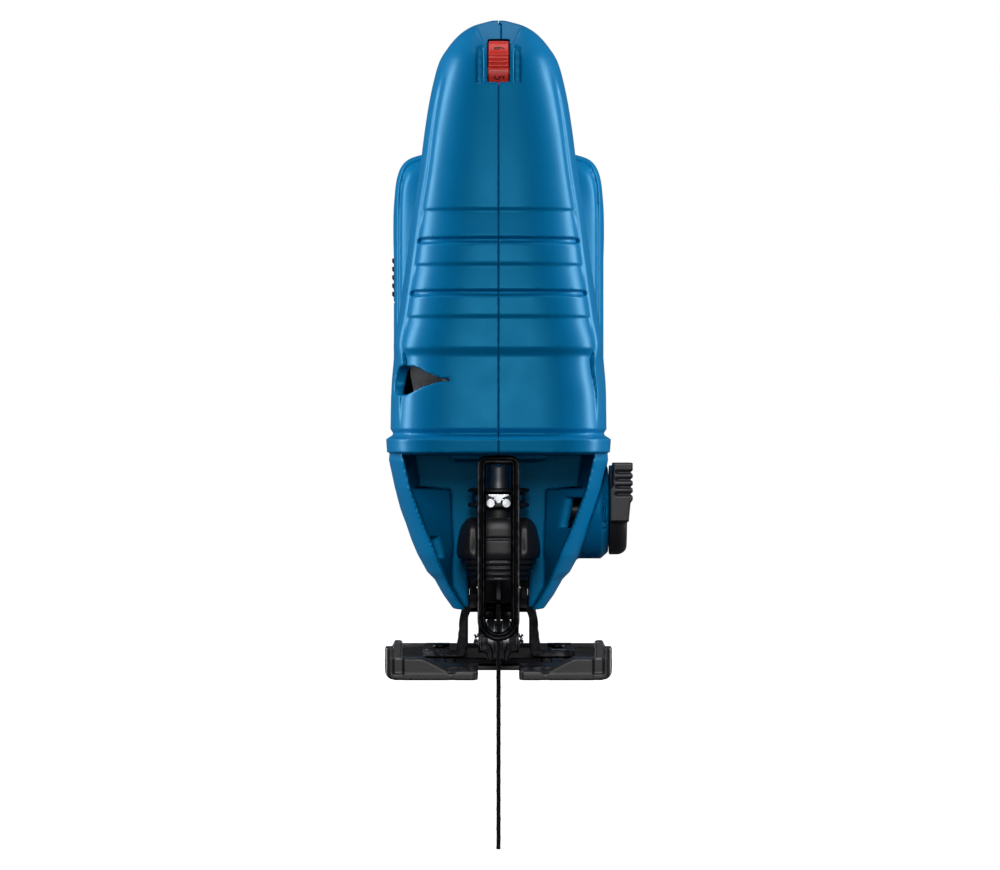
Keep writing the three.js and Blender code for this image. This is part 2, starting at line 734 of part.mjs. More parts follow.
// Finger guard: a long U of flat bar in front of the blade
function guardOutline(halfWidth, bottom) {
  const bend = Array.from({ length: 9 }, (_, i) => {
    const angle = Math.PI + (i / 8) * Math.PI;
    return [halfWidth * Math.cos(angle), bottom + halfWidth + halfWidth * Math.sin(angle)];
  });
  return [[-halfWidth, GUARD.top], ...bend, [halfWidth, GUARD.top]];
}
function guard() {
  const thick = GUARD.outer - GUARD.inner;
  const inner = guardOutline(GUARD.inner, GUARD.bottom + 1.2).map(([x, z]) => [x, z === GUARD.top ? z - thick : z]);
  return cut(
    prism("y", guardOutline(GUARD.outer, GUARD.bottom), GUARD.y - 1.5, GUARD.y + 1.5),
    prism("y", inner, GUARD.y - 3, GUARD.y + 3),
  );
}
add("finger_guard", guard(), "coated_steel");

add("blower_nozzle", rod("y", 1.8, -58, -46, [0, 67.6], 12), "housing");

// ---- Shoe ---------------------------------------------------------------------------------

function slotCut(z0, z1) {
  const outline = [
    [-9.6, -90], [-SLOT.narrow, SHOE.front + 3.2], [-SLOT.narrow, SLOT.neck],
    [-SLOT.wide, SLOT.neck + 8], [-SLOT.wide, SLOT.end - 3], [-SLOT.wide + 3, SLOT.end],
    [SLOT.wide - 3, SLOT.end], [SLOT.wide, SLOT.end - 3], [SLOT.wide, SLOT.neck + 8],
    [SLOT.narrow, SLOT.neck], [SLOT.narrow, SHOE.front + 3.2], [9.6, -90],
  ];
  return prism("z", outline, z0, z1);
}

// Plastic sole that wraps the plate: upturned front lip, corner posts and low side walls
function glideShoe() {
  const w = SHOE.halfWidth;
  const section = [
    [-w, 2.6], [-w + 2.6, 0], [w - 2.6, 0], [w, 2.6], [w, 6.4], [w - 2.2, 6.4],
    [w - 2.2, SHOE.sole], [-w + 2.2, SHOE.sole], [-w + 2.2, 6.4], [-w, 6.4],
  ];
  const lipOutline = (sign) => [
    [0, 0], [sign * (w - 2.6), 0], [sign * w, 2.6], [sign * w, 9.9], [sign * (w - 2.6), 9.9],
    [sign * (w - 2.6), 12], [sign * (w - 5.4), 12], [sign * (w - 5.4), 7.1], [sign * 23, 7.1],
    [sign * 15, 2.7], [0, 2.7],
  ];
  const lip = join(
    prism("y", lipOutline(-1), SHOE.front, SHOE.front + 5),
    prism("y", lipOutline(1), SHOE.front, SHOE.front + 5),
  );
  const posts = [-1, 1].map((sign) => {
    const inner = sign * (w - 2.6);
    return block(Math.min(inner, sign * w), Math.max(inner, sign * w), SHOE.front, SHOE.front + 16, 2, 9.9);
  });
  const heel = bar(w - 1, SHOE.back - 2.4, SHOE.back, 1, 5.4);
  return cut(join(prism("y", section, SHOE.front, SHOE.back), lip, ...posts, heel), slotCut(-1, 20));
}
add("glide_shoe", glideShoe(), "black_plastic");

function footPlate() {
  const plate = bar(32.7, SHOE.front + 5.4, SHOE.back - 2.8, SHOE.sole + GAP, SHOE.plateTop);
  const guideWays = [-62, -46].map((y) => bar(40, y, y + 8, 2.6, 6));
  return cut(plate, slotCut(0, 9), ...guideWays.map((way) => way.intersect(join(block(-34, -20, -90, 90, 0, 9),
    block(20, 34, -90, 90, 0, 9)))), rod("z", 3, 0, 9, [0, 62]));
}
add("foot_plate", footPlate(), "coated_steel");

// Arch that carries the shoe on the gearcase and lets it tilt
function bevelBracket() {
  const arc = (radius, from, to) => Array.from({ length: 13 }, (_, i) => {
    const angle = from + ((to - from) * i) / 12;
    return [radius * Math.cos(angle), BEVEL.z + radius * Math.sin(angle)];
  });
  const low = SHOE.plateTop + GAP;
  const high = low + 2.2;
  const outline = [
    [24.6, low], [24.6, high], [BEVEL.outer, high],
    ...arc(BEVEL.outer, 0, Math.PI),
    [-BEVEL.outer, high], [-24.6, high], [-24.6, low], [-BEVEL.inner, low],
    ...arc(BEVEL.inner, Math.PI, 0),
    [BEVEL.inner, low],
  ];
  const screwHoles = [-19, 19].map((x) => rod("z", 2, 0, 9, [x, BRACKET_SCREW_Y], 12));
  return cut(
    prism("y", outline, BEVEL.front, BEVEL.back),
    bar(13, 11.2, 18.8, 17.8, 30), // arc slot that the bevel screw passes through
    ...screwHoles,
  );
}
add("bevel_bracket", bevelBracket(), "coated_steel");

add("bevel_clamp_plate", cut(bar(5, 7, 23, 20.6, 22.8), rod("z", 3.3, 10, 30, [0, 15])), "steel");
add("bevel_screw", cut(
  turned("z", [[4.4, 15.6], [4.4, 20.3], [3, 20.3], [3, 36]], [0, 15]),
  prism("z", circle(2.2, 6, [0, 15]), 12, 18.6),
), "dark_steel");

for (const [side, x] of [["left", -19], ["right", 19]]) {
  const top = SHOE.plateTop + GAP + 2.2 + GAP;
  const stem = [[1.7, SHOE.plateTop + GAP], [1.7, top], [3, top], [2.5, top + 1], [1.2, top + 1.5]];
  add(`bracket_screw_${side}`, turned("z", stem, [x, BRACKET_SCREW_Y], 14), "dark_steel");
}

export default jigsaw;
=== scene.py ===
"""Looks for a cordless bow-handle jigsaw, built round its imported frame.

Shapes are worked out in millimetres and turned into metres when a mesh is made. The larger
mouldings are surfaces of distance fields, so that they get the soft joins of real mouldings.
"""

import functools
import math

import bmesh
import bpy
import numpy as np
from mathutils import Matrix, Vector


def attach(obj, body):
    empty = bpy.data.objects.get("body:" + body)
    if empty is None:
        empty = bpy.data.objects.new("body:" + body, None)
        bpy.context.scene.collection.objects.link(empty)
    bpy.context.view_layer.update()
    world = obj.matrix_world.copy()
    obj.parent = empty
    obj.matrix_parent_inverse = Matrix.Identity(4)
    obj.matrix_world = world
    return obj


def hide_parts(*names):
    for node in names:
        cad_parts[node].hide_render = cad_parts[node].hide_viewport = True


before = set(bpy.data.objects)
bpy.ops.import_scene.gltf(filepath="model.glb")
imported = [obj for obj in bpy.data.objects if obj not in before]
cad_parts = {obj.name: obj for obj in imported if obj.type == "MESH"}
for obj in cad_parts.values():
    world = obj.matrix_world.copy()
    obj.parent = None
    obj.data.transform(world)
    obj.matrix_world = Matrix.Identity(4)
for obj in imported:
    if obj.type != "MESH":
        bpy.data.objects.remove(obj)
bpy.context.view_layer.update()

MM = 0.001
WALL = 2.5  # housing wall

# ---- Sizes, as in the frame ----

BLADE_Y = -34
DIAL_Y, DIAL_Z, DIAL_RADIUS, DIAL_HALF = -38, 191, 10, 3.1
LEVER_Y, LEVER_Z, LEVER_INNER, LEVER_OUTER, LEVER_RADIUS = -30, 52, 35.2, 42.5, 14.2
SADDLE_Z, SADDLE_RADIUS = 14.5, 14.2
LOCK_Y, LOCK_Z, LOCK_RADIUS = 62, 178, 4.5
ROLLER_Y, ROLLER_Z = -23.2, 10.5
SCREWS = [(-54, 93), (-20, 178), (92, 170), (100, 46), (126, 66)]

# Upright sections: [height, half-width, front, back]
COLUMN = [
    [208.2, 3, -30, -14],
    [206.6, 8.6, -34.5, -4],
    [204.2, 12.5, -38, 4],
    [200, 16.2, -42, 7],
    [195.3, 19, -45.5, 7],
    [189.4, 20.7, -48, 6],
    [182, 22.2, -50, 2],
    [172.5, 23.6, -52.5, -4],
    [160, 25.1, -55.5, -9],
    [148, 27, -58, -8],
    [130, 29.5, -61.5, 4],
    [113, 31.9, -64, 13],
    [104, 33.4, -65, 16],
    [99, 33.1, -65.5, 18],
    [88, 34.2, -66.8, 18],
    [75, 34.4, -68, 18],
]
HOOD = [
    [75, 34.4, -69, 44],
    [68, 35, -70, 44],
    [59, 33.1, -68, 44],
    [51.5, 30.9, -65.5, 44],
    [42.5, 27.9, -62.5, 43],
    [38, 26, -61.5, 42],
    [32.3, 22.9, -59, 41],
    [30, 20.6, -58.4, 40],
    [25, 17.8, -56, 39],
    [20.8, 14.8, -54, 38],
]
CAVITY_BACK, CAVITY_SHOULDER, CAVITY_ROOF = -23.6, -46, 69.8
SHOULDER_DEPTH = 12  # how far behind the shoulder the cavity narrows
# Open front of the hood: [height, half-width at the mouth, half-width of the channel]
CAVITY = [
    [CAVITY_ROOF, 30, 27],
    [59.2, 27.6, 25.5],
    [58.6, 27.4, 15.5],
    [47.3, 23.2, 15],
    [39.5, 19.8, 14.5],
    [36, 18.4, 15],
    [28, 15.2, 14.8],
    [24, 12.8, 12.6],
    [20.8, 10.6, 10.6],
    [16, 10.6, 10.6],
]
RIM = [[75.4, 34.4, -69, 20], [74.6, 35.7, -72, 20], [70.4, 35.4, -72, 20]]
# Lying sections: [y, half-width, bottom, top]
HANDLE = [
    [-24, 12.4, 173, 200.5],
    [-6, 16, 170.4, 203.8],
    [14, 18.3, 168.6, 205.6],
    [34, 18, 167, 203.4],
    [54, 17, 163.5, 199],
    [74, 16.6, 159, 193.5],
    [94, 17.2, 153, 187.6],
    [108, 19.5, 146, 183],
    [122, 25, 136, 178.5],
    [134, 31, 126, 174],
]
BARREL = [
    [-20, 29, 42, 99],
    [0, 32.4, 37.5, 102.5],
    [60, 32.4, 37.5, 102.5],
    [96, 33, 38, 103],
    [116, 34.6, 46, 108],
    [130, 36, 56, 112],
]
BRACKET = [
    [110, 27, 74, 158],
    [116, 34, 64, 169],
    [124, 36.4, 60, 173.4],
    [165, 36.5, 60, 174],
]
BRACKET_END = 147
BRACKET_POWER, HANDLE_POWER, BARREL_POWER, HOOD_POWER = 9, 2.4, 3, 4.5

# ---- Distance fields ----


def rows_at(rows, at, sharp=False):
    """Values and slopes of each column of rows at the stations asked for."""
    table = np.array(sorted(rows), np.float32)
    station = table[:, 0]
    gap = np.diff(station)
    i = np.clip(np.searchsorted(station, at, side="right") - 1, 0, len(station) - 2)
    t = np.clip((at - station[i]) / gap[i], 0, 1)
    values, slopes = [], []
    for column in table[:, 1:].T:
        rate = np.diff(column) / gap
        if sharp:
            values.append(column[i] + rate[i] * gap[i] * t)
            slopes.append(rate[i])
            continue
        both = rate[:-1] * rate[1:]
        total = np.where(both > 0, rate[:-1] + rate[1:], 1)
        tangent = np.empty(len(station), np.float32)
        tangent[0], tangent[-1] = rate[0], rate[-1]
        tangent[1:-1] = np.where(both > 0, 2 * both / total, 0)
        a, b = column[i], column[i + 1]
        ma, mb = tangent[i] * gap[i], tangent[i + 1] * gap[i]
        c2 = 3 * (b - a) - 2 * ma - mb
        c3 = 2 * (a - b) + ma + mb
        values.append(a + t * (ma + t * (c2 + t * c3)))
        slopes.append((ma + t * (2 * c2 + 3 * t * c3)) / gap[i])
    return values, slopes


def swept(rows, power, x, across, along, sharp=False):
    """Near-distance to a body whose oblong section follows rows of [along, half-width, low, high]."""
    (half, low, high), (d_half, d_low, d_high) = rows_at(rows, along, sharp)
    middle, depth = (low + high) / 2, (high - low) / 2
    u = np.abs(x) / half
    offset = across - middle
    v = np.abs(offset) / depth
    reach = (u**power + v**power) ** (1 / power) + 1e-6
    a = (u / reach) ** (power - 1) / half
    b = (v / reach) ** (power - 1) / depth
    c = a * u * d_half + b * (v * (d_high - d_low) / 2 + np.sign(offset) * (d_high + d_low) / 2)
    distance = (reach - 1) / np.sqrt(a * a + b * b + c * c)
    ends = sorted(row[0] for row in rows)
    return np.maximum(distance, within(along, ends[0], ends[-1]))


def within(value, low, high):
    """Negative between low and high."""
    return np.abs(value - (low + high) / 2) - (high - low) / 2


def both(*fields):
    return functools.reduce(np.maximum, fields)


def either(*fields):
    return functools.reduce(np.minimum, fields)


def blend(a, b, soft):
    """Union with a fillet."""
    h = np.clip(0.5 + 0.5 * (b - a) / soft, 0, 1)
    return b + (a - b) * h - soft * h * (1 - h)


def round_hole(u, v, centre, radius):
    """Distance to a bore seen along its axis."""
    return np.hypot(u - centre[0], v - centre[1]) - radius


def carve(a, tool, soft=0.0):
    """a without tool, with a rounded edge if soft is given."""
    if soft:
        return -blend(-a, tool, soft)
    return np.maximum(a, -tool)


def fade(value, start, end):
    """0 before start, 1 after end."""
    t = np.clip((value - start) / (end - start), 0, 1)
    return t * t * (3 - 2 * t)


def bump(value, centre, half):
    """1 at the centre, 0 beyond half either side."""
    return np.clip(1 - np.abs(value - centre) / half, 0, 1)


# ---- Surfaces of fields ----

CORNERS = [(i, j, k) for i in (0, 1) for j in (0, 1) for k in (0, 1)]
EDGES = [
    (a, b) for a in CORNERS for b in CORNERS
    if sum(b) - sum(a) == 1 and all(q >= p for p, q in zip(a, b))
]
GRADIENT_STEP = 0.05
SETTLING = 2  # passes that move the vertices onto the surface


def gradient_at(field, points, value):
    columns = []
    for axis in range(3):
        moved = points.copy()
        moved[:, axis] += GRADIENT_STEP
        columns.append((field(*moved.T) - value) / GRADIENT_STEP)
    return np.stack(columns, 1)


def surface(field, xs, ys, zs, reach):
    """Vertices and faces of the zero surface of a field, one vertex in each cell it crosses."""
    xs, ys, zs = (np.asarray(axis, np.float32) for axis in (xs, ys, zs))
    values = field(xs[:, None, None], ys[None, :, None], zs[None, None, :]).astype(np.float32)
    inside = values < 0
    nx, ny, nz = (n - 1 for n in values.shape)

    def corner(grid, c):
        return grid[c[0] : c[0] + nx, c[1] : c[1] + ny, c[2] : c[2] + nz]

    count = sum(corner(inside, c).astype(np.int8) for c in CORNERS)
    cells = np.argwhere((count > 0) & (count < 8))
    number = np.full((nx, ny, nz), -1, np.int32)
    number[tuple(cells.T)] = np.arange(len(cells))
    total = np.zeros((len(cells), 3))
    hits = np.zeros(len(cells))
    lines = (xs, ys, zs)
    for a, b in EDGES:
        start, end = cells + a, cells + b
        va, vb = values[tuple(start.T)], values[tuple(end.T)]
        crossing = (va < 0) != (vb < 0)
        t = np.where(crossing, va / np.where(crossing, va - vb, 1), 0)
        for axis in range(3):
            pa, pb = lines[axis][start[:, axis]], lines[axis][end[:, axis]]
            total[:, axis] += np.where(crossing, pa + (pb - pa) * t, 0)
        hits += crossing
    points = total / hits[:, None]
    faces = []
    for axis in range(3):
        other = [k for k in range(3) if k != axis]
        upper = [slice(None)] * 3
        lower = [slice(None)] * 3
        upper[axis], lower[axis] = slice(1, None), slice(None, -1)
        changed = inside[tuple(lower)] != inside[tuple(upper)]
        at = np.argwhere(changed)
        keep = np.ones(len(at), bool)
        for k, limit in enumerate((nx, ny, nz)):
            low = 1 if k != axis else 0
            keep &= (at[:, k] >= low) & (at[:, k] < limit)
        at = at[keep]
        ring = []
        for du, dv in ((1, 1), (0, 1), (0, 0), (1, 0)):
            cell = at.copy()
            cell[:, other[0]] -= du
            cell[:, other[1]] -= dv
            ring.append(number[tuple(cell.T)])
        quad = np.stack(ring, 1)
        out = inside[tuple(at.T)]
        if axis == 1:
            out = ~out
        quad[~out] = quad[~out][:, ::-1]
        faces.append(quad)
    faces = np.concatenate(faces)
    faces = faces[(faces >= 0).all(1)]
    for _ in range(SETTLING):
        value = field(*points.T)
        slope = gradient_at(field, points, value)
        length = np.maximum((slope**2).sum(1), 0.2)
        move = -(value / length)[:, None] * slope
        size = np.linalg.norm(move, axis=1)
        move *= np.minimum(1, reach / np.maximum(size, 1e-9))[:, None]
        points = points + move
    return points, faces


def steps(*parts):
    """Grid lines from (start, end, step) parts that follow each other."""
    lines = [np.arange(start, end - step * 0.4, step) for start, end, step in parts]
    return np.append(np.concatenate(lines), parts[-1][1])


# ---- Meshes ----


def new_object(name, data):
    item = bpy.data.objects.new(name, data)
    bpy.context.scene.collection.objects.link(item)
    return item


def to_mesh(bm, name):
    """Turns a bmesh into a mesh and frees it."""
    mesh = bpy.data.meshes.new(name)
    bm.to_mesh(mesh)
    bm.free()
    return mesh


def to_metres(bm):
    bmesh.ops.scale(bm, vec=(MM, MM, MM), verts=bm.verts)
    bmesh.ops.recalc_face_normals(bm, faces=bm.faces)


def new_piece(name, points, faces, body, material):
    """A mesh piece from points in millimetres, riding on a body."""
    mesh = bpy.data.meshes.new(name)
    mesh.from_pydata([], [], [])
    points = np.asarray(points, float) * MM
    faces = np.asarray(faces)
    mesh.vertices.add(len(points))
    mesh.vertices.foreach_set("co", points.ravel())
    mesh.loops.add(faces.size)
    mesh.loops.foreach_set("vertex_index", faces.ravel().astype(np.int32))
    mesh.polygons.add(len(faces))
    mesh.polygons.foreach_set("loop_start", np.arange(0, faces.size, faces.shape[1], dtype=np.int32))
    mesh.update(calc_edges=True)
    mesh.validate()
    mesh.polygons.foreach_set("use_smooth", [True] * len(mesh.polygons))
    return place(name, mesh, body, material)


def place(name, mesh, body, material):
    piece = new_object(name, mesh)
    piece.data.materials.append(material)
    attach(piece, body)
    return piece


def field_piece(name, field, xs, ys, zs, body, slot, material, reach=0.3):
    points, faces = surface(field, xs, ys, zs, reach)
    return new_piece(name, points, faces, body, material)


def bm_piece(name, bm, body, material, bevel=0.0, segments=3, angle=30):
    """Turns a bmesh in millimetres into a piece, with its sharp edges rounded."""
    to_metres(bm)
    for face in bm.faces:
        face.smooth = True
    piece = place(name, to_mesh(bm, name), body, material)
    soften(piece, bevel, segments, angle)
    return piece


def soften(piece, bevel, segments=3, angle=30):
    if bevel:
        edge = piece.modifiers.new("edges", "BEVEL")
        edge.width = bevel * MM
        edge.segments = segments
        edge.limit_method = "ANGLE"
        edge.angle_limit = math.radians(angle)
        edge.harden_normals = False
    normals = piece.modifiers.new("normals", "WEIGHTED_NORMAL")
    normals.keep_sharp = True


AXIS = {
    "x": lambda u, v, w: (w, u, v),
    "y": lambda u, v, w: (u, w, v),
    "z": lambda u, v, w: (u, v, w),
}


def bridge(bm, low, high):
    """Joins two closed rings of vertices."""
    for i, corner in enumerate(low):
        j = (i + 1) % len(low)
        bm.faces.new((corner, high[i], high[j], low[j]))


def add_skin(bm, low, high):
    """Closes the solid between two rings of vertices."""
    bm.faces.new(low)
    bm.faces.new(high[::-1])
    bridge(bm, low, high)


def add_prism(bm, axis, outline, start, end):
    """Adds an outline swept along an axis; its points are (y, z), (x, z) or (x, y)."""
    to_space = AXIS[axis]
    low = [bm.verts.new(to_space(u, v, start)) for u, v in outline]
    high = [bm.verts.new(to_space(u, v, end)) for u, v in outline]
    add_skin(bm, low, high)


def add_lathe(bm, axis, profile, centre, count=48):
    """Adds a turned solid from (radius, along) points; a radius of 0 closes an end."""
    to_space = AXIS[axis]
    rings = []
    for radius, along in profile:
        if radius == 0:
            rings.append([bm.verts.new(to_space(centre[0], centre[1], along))])
            continue
        ring = []
        for i in range(count):
            angle = 2 * math.pi * i / count
            u, v = radius * math.cos(angle), radius * math.sin(angle)
            ring.append(bm.verts.new(to_space(centre[0] + u, centre[1] + v, along)))
        rings.append(ring)
    for low, high in zip(rings, rings[1:]):
        for i in range(count):
            j = (i + 1) % count
            if len(low) == 1 and len(high) == 1:
                continue
            if len(low) == 1:
                bm.faces.new((low[0], high[i], high[j]))
            elif len(high) == 1:
                bm.faces.new((low[i], high[0], low[j]))
            else:
                bm.faces.new((low[i], high[i], high[j], low[j]))


def add_box(bm, x0, x1, y0, y1, z0, z1):
    add_prism(bm, "z", [(x0, y0), (x1, y0), (x1, y1), (x0, y1)], z0, z1)


def add_box_pair(bm, x0, x1, *rest):
    """A box and its mirror image across the mid-plane."""
    add_box(bm, -x1, -x0, *rest)
    add_box(bm, x0, x1, *rest)


def lathe_piece(name, axis, profile, centre, body, material, bevel=0.0, count=48):
    bm = bmesh.new()
    add_lathe(bm, axis, profile, centre, count)
    return bm_piece(name, bm, body, material, bevel, 2)


def arc(cx, cy, radius, start, end, count):
    """Points along an arc, angles in degrees."""
    angles = [math.radians(start + (end - start) * i / (count - 1)) for i in range(count)]
    return [(cx + radius * math.cos(a), cy + radius * math.sin(a)) for a in angles]


def cut_holes(piece, cutters):
    """Cuts the solids in cutters, each a filled bmesh in millimetres, out of a piece."""
    for bm in cutters:
        to_metres(bm)
        tool = new_object("cutter", to_mesh(bm, "cutter"))
        modifier = piece.modifiers.new("cut", "BOOLEAN")
        modifier.operation = "DIFFERENCE"
        modifier.solver = "EXACT"
        modifier.object = tool
        others = [m for m in piece.modifiers if m != modifier]
        shown = [m.show_viewport for m in others]
        for m in others:
            m.show_viewport = False
        bpy.context.view_layer.update()
        graph = bpy.context.evaluated_depsgraph_get()
        result = bpy.data.meshes.new_from_object(piece.evaluated_get(graph), depsgraph=graph)
        piece.modifiers.remove(modifier)
        for m, state in zip(others, shown):
            m.show_viewport = state
        piece.data = result
        bpy.data.objects.remove(tool)
    piece.data.polygons.foreach_set("use_smooth", [True] * len(piece.data.polygons))
    return piece


# ---- Materials ----


def linear(colour):
    """Linear values of an sRGB colour given as a hex number."""
    parts = [((colour >> shift) & 255) / 255 for shift in (16, 8, 0)]
    return tuple(c / 12.92 if c <= 0.04045 else ((c + 0.055) / 1.055) ** 2.4 for c in parts) + (1.0,)


class Nodes:
    """A short way to build one material's nodes."""

    def __init__(self, name):
        self.material = bpy.data.materials.new(name)
        self.material.use_nodes = True
        self.tree = self.material.node_tree
        self.shader = self.tree.nodes["Principled BSDF"]
        self.coords = self.new("ShaderNodeTexCoord").outputs["Object"]

    def feed(self, socket, value):
        """Gives a socket a link or a constant."""
        if isinstance(value, bpy.types.NodeSocket):
            self.tree.links.new(value, socket)
        else:
            socket.default_value = value

    def new(self, kind, inputs=None, **settings):
        node = self.tree.nodes.new(kind)
        for key, value in settings.items():
            setattr(node, key, value)
        for key, value in (inputs or {}).items():
            self.feed(node.inputs[key], value)
        return node

    def stretched(self, scale):
        return self.new("ShaderNodeMapping", {"Vector": self.coords, "Scale": scale}).outputs["Vector"]

    def noise(self, size, detail=2.0, vector=None):
        """Noise whose features are about size millimetres across."""
        inputs = {"Vector": vector or self.coords, "Scale": 1 / (size * MM), "Detail": detail}
        return self.new("ShaderNodeTexNoise", inputs).outputs["Fac"]

    def spread(self, value, low, high, out_low, out_high):
        inputs = {"Value": value, "From Min": low, "From Max": high, "To Min": out_low, "To Max": out_high}
        return self.new("ShaderNodeMapRange", inputs).outputs["Result"]

    def mix(self, factor, a, b):
        node = self.new("ShaderNodeMix", data_type="RGBA")
        for index, value in ((0, factor), (6, a), (7, b)):
            self.feed(node.inputs[index], value)
        return node.outputs[2]

    def wear_and_edge_highlight(self, start, most, patches):
        """How far the sharp edges are lightened, in patches: partly worn bare, partly a painted highlight
        along the edges.
        """
        # painted highlight: convex edges found by pointiness are lightened, standing in partly for wear
        # and partly for edge highlights
        pointiness = self.new("ShaderNodeNewGeometry").outputs["Pointiness"]
        edge = self.spread(pointiness, start, 0.6, 0.0, most)
        return self.new("ShaderNodeMath", {0: edge, 1: patches}, operation="MULTIPLY").outputs[0]

    def bump(self, height, distance):
        inputs = {"Height": height, "Distance": distance * MM, "Strength": 1.0}
        return self.new("ShaderNodeBump", inputs).outputs["Normal"]

    def finish(self, **sockets):
        for key, value in sockets.items():
            self.feed(self.shader.inputs[key.replace("_", " ")], value)
        return self.material


def moulded(name, colour, worn_and_highlight_colour, rough, grain=0.35, depth=0.012, tint=0xFFFFFF):
    """Moulded plastic: fine eroded grain, slow tone changes, and lighter edges that are partly worn bare
    and partly a painted highlight.
    """
    n = Nodes(name)
    fine = n.noise(grain, 3.0)
    slow = n.noise(28, 3.0)
    tone = n.mix(n.spread(slow, 0.3, 0.7, 0.0, 0.16), linear(colour), linear(worn_and_highlight_colour))
    # painted highlight: sharp edges are mixed toward the lighter colour, partly as wear and partly as edge
    # highlight
    wear_and_edge_highlight = n.wear_and_edge_highlight(0.53, 0.45, n.spread(n.noise(3, 4.0), 0.35, 0.7, 0.2, 1.0))
    tone = n.mix(wear_and_edge_highlight, tone, linear(worn_and_highlight_colour))
    gloss = n.spread(n.noise(7, 4.0), 0.3, 0.7, rough - 0.02, rough + 0.03)
    normal = n.bump(fine, depth)
    return n.finish(Base_Color=tone, Roughness=gloss, Normal=normal, Specular_Tint=linear(tint))


def metal(name, colour, dark, rough, streak=(1, 1, 1), size=0.5, depth=0.006):
    """Machined or polished metal: drawn streaks and faint stains."""
    n = Nodes(name)
    lines = n.noise(size, 4.0, n.stretched(streak))
    stains = n.noise(9, 4.0)
    tone = n.mix(n.spread(stains, 0.35, 0.75, 0.0, 0.5), linear(colour), linear(dark))
    gloss = n.spread(lines, 0.25, 0.75, rough - 0.06, rough + 0.1)
    return n.finish(Base_Color=tone, Metallic=1.0, Roughness=gloss, Normal=n.bump(lines, depth))


def coated(name, colour, edge_wear_and_highlight_colour, rough):
    """Painted or blackened metal: orange peel, and bright edges that are partly worn bare and partly a
    painted highlight.
    """
    n = Nodes(name)
    peel = n.noise(0.8, 3.0)
    # painted highlight: sharp edges are mixed toward the bright colour, partly as wear and partly as edge
    # highlight
    wear_and_edge_highlight = n.wear_and_edge_highlight(0.52, 0.5, n.spread(n.noise(2, 5.0), 0.4, 0.7, 0.0, 1.0))
    tone = n.mix(wear_and_edge_highlight, linear(colour), linear(edge_wear_and_highlight_colour))
    gloss = n.spread(n.noise(5, 4.0), 0.3, 0.7, rough - 0.06, rough + 0.08)
    return n.finish(Base_Color=tone, Metallic=1.0, Roughness=gloss, Normal=n.bump(peel, 0.012))


HOUSING = moulded("housing_blue", 0x0074AE, 0x0088C0, 0.36, 0.3, 0.008, 0x4CCEFF)
BLACK = moulded("black_moulding", 0x222226, 0x4A4A4F, 0.4, 0.4, 0.014)
SHOE_BLACK = moulded("shoe_moulding", 0x1B1B1E, 0x55555C, 0.36, 0.5, 0.014)
DIAL_RED = moulded("dial_red", 0xE81C12, 0xFF5A44, 0.34, 0.3, 0.006)
INK = moulded("dial_ink", 0x1A0706, 0x2A1412, 0.5, 0.3, 0.004)
RUBBER = moulded("soft_rubber", 0x1D1D20, 0x37373B, 0.72, 0.6, 0.05)
CAST_BLACK = coated("cast_black", 0x131315, 0x4A4A4E, 0.42)
COATED = coated("coated_black", 0x161618, 0x64646A, 0.33)
SCREW = coated("blackened_screw", 0x1E1E21, 0x6C6C72, 0.36)
STEEL = metal("machined_steel", 0xA6A8AC, 0x7E8084, 0.32, (1, 1, 8))
PLUNGER_STEEL = metal("plunger_steel", 0xC4C6CC, 0xA8AAB0, 0.46, (1, 1, 6), 0.8)
CHROME = metal("polished_chrome", 0xC2C4C8, 0xA0A2A6, 0.2, (1, 1, 1), 2.0, 0.002)
BLADE_STEEL = metal("blade_steel", 0x2A2B2E, 0x1B1B1D, 0.4, (1, 1, 10), 0.5)
ALUMINIUM = metal("cast_aluminium", 0xAEB0B2, 0x8E9092, 0.46, (1, 1, 1), 0.7, 0.03)
COPPER = metal("copper", 0xB8683A, 0x8E4A28, 0.34, (1, 8, 1))
BRONZE = metal("sintered_bronze", 0xB89450, 0x8E7038, 0.44, (1, 1, 1), 0.4, 0.02)
MAGNET = coated("ferrite", 0x38383C, 0x5C5C60, 0.68)
BOARD = moulded("circuit_board", 0x14502C, 0x2C7A48, 0.4, 0.8, 0.01)

# ---- Housing ----

SPLIT = 0.07  # each half stops this far from the mid-plane
TONGUE = 0.9  # the inner edge of one half laps into the other
VENTS, VENT_START, VENT_PITCH, VENT_HALF, VENT_SLANT = 6, 62, 4.6, 0.95, 0.25
WING = [[0, 36.4, 60, 173.4], [300, 36.4, 60, 173.4]]
LEDGES = [146.3, 128.9, 112.4]
GROOVES = [137.1, 120.5]
STEP_TOP, STEP_BOTTOM = 103.8, 100.3
LEDGE_DEPTH, GROOVE_DEPTH, STEP_DEPTH, LINE_DEPTH, NECK_DEPTH = 0.75, 1.5, 1.5, 0.55, 0.9
BOSS_RADIUS, BOSS_FACE, BOSS_CHAMFER = 13.4, 34.9, 2.3
SHAFT_BORE, SCREW_BORE, SCREW_HEAD_BORE, SCREW_POST = 3.4, 1.9, 3.9, 4.6
BORE_START = 10  # the side bores start this far from the mid-plane
TEARDROP_START = 15
# Recesses inside the hood, by side: [front, back, bottom, top, start]
WINDOWS = {1: [-48.5, -40, 46.4, 56, 16], -1: [-48.5, -41, 36.8, 43.6, 12]}
WINDOW_SKIN = 0.9  # wall left outside each window
# Boxes cut out of both halves: [half-width, front, back, bottom, top]
OPENINGS = [
    [14, -44, -5, 68, 73.6],  # over the plunger
    [9.7, -24.5, 34.4, 17, 38.6],  # gearcase nose
    [8.5, 8, 48, 155, 174],  # trigger
    [33.6, 139.6, 180, 69.6, 168.4],  # battery end
]
COUNTERWEIGHT_Z, COUNTERWEIGHT_ROOM = 94, 22  # clearance for the moving counterweight


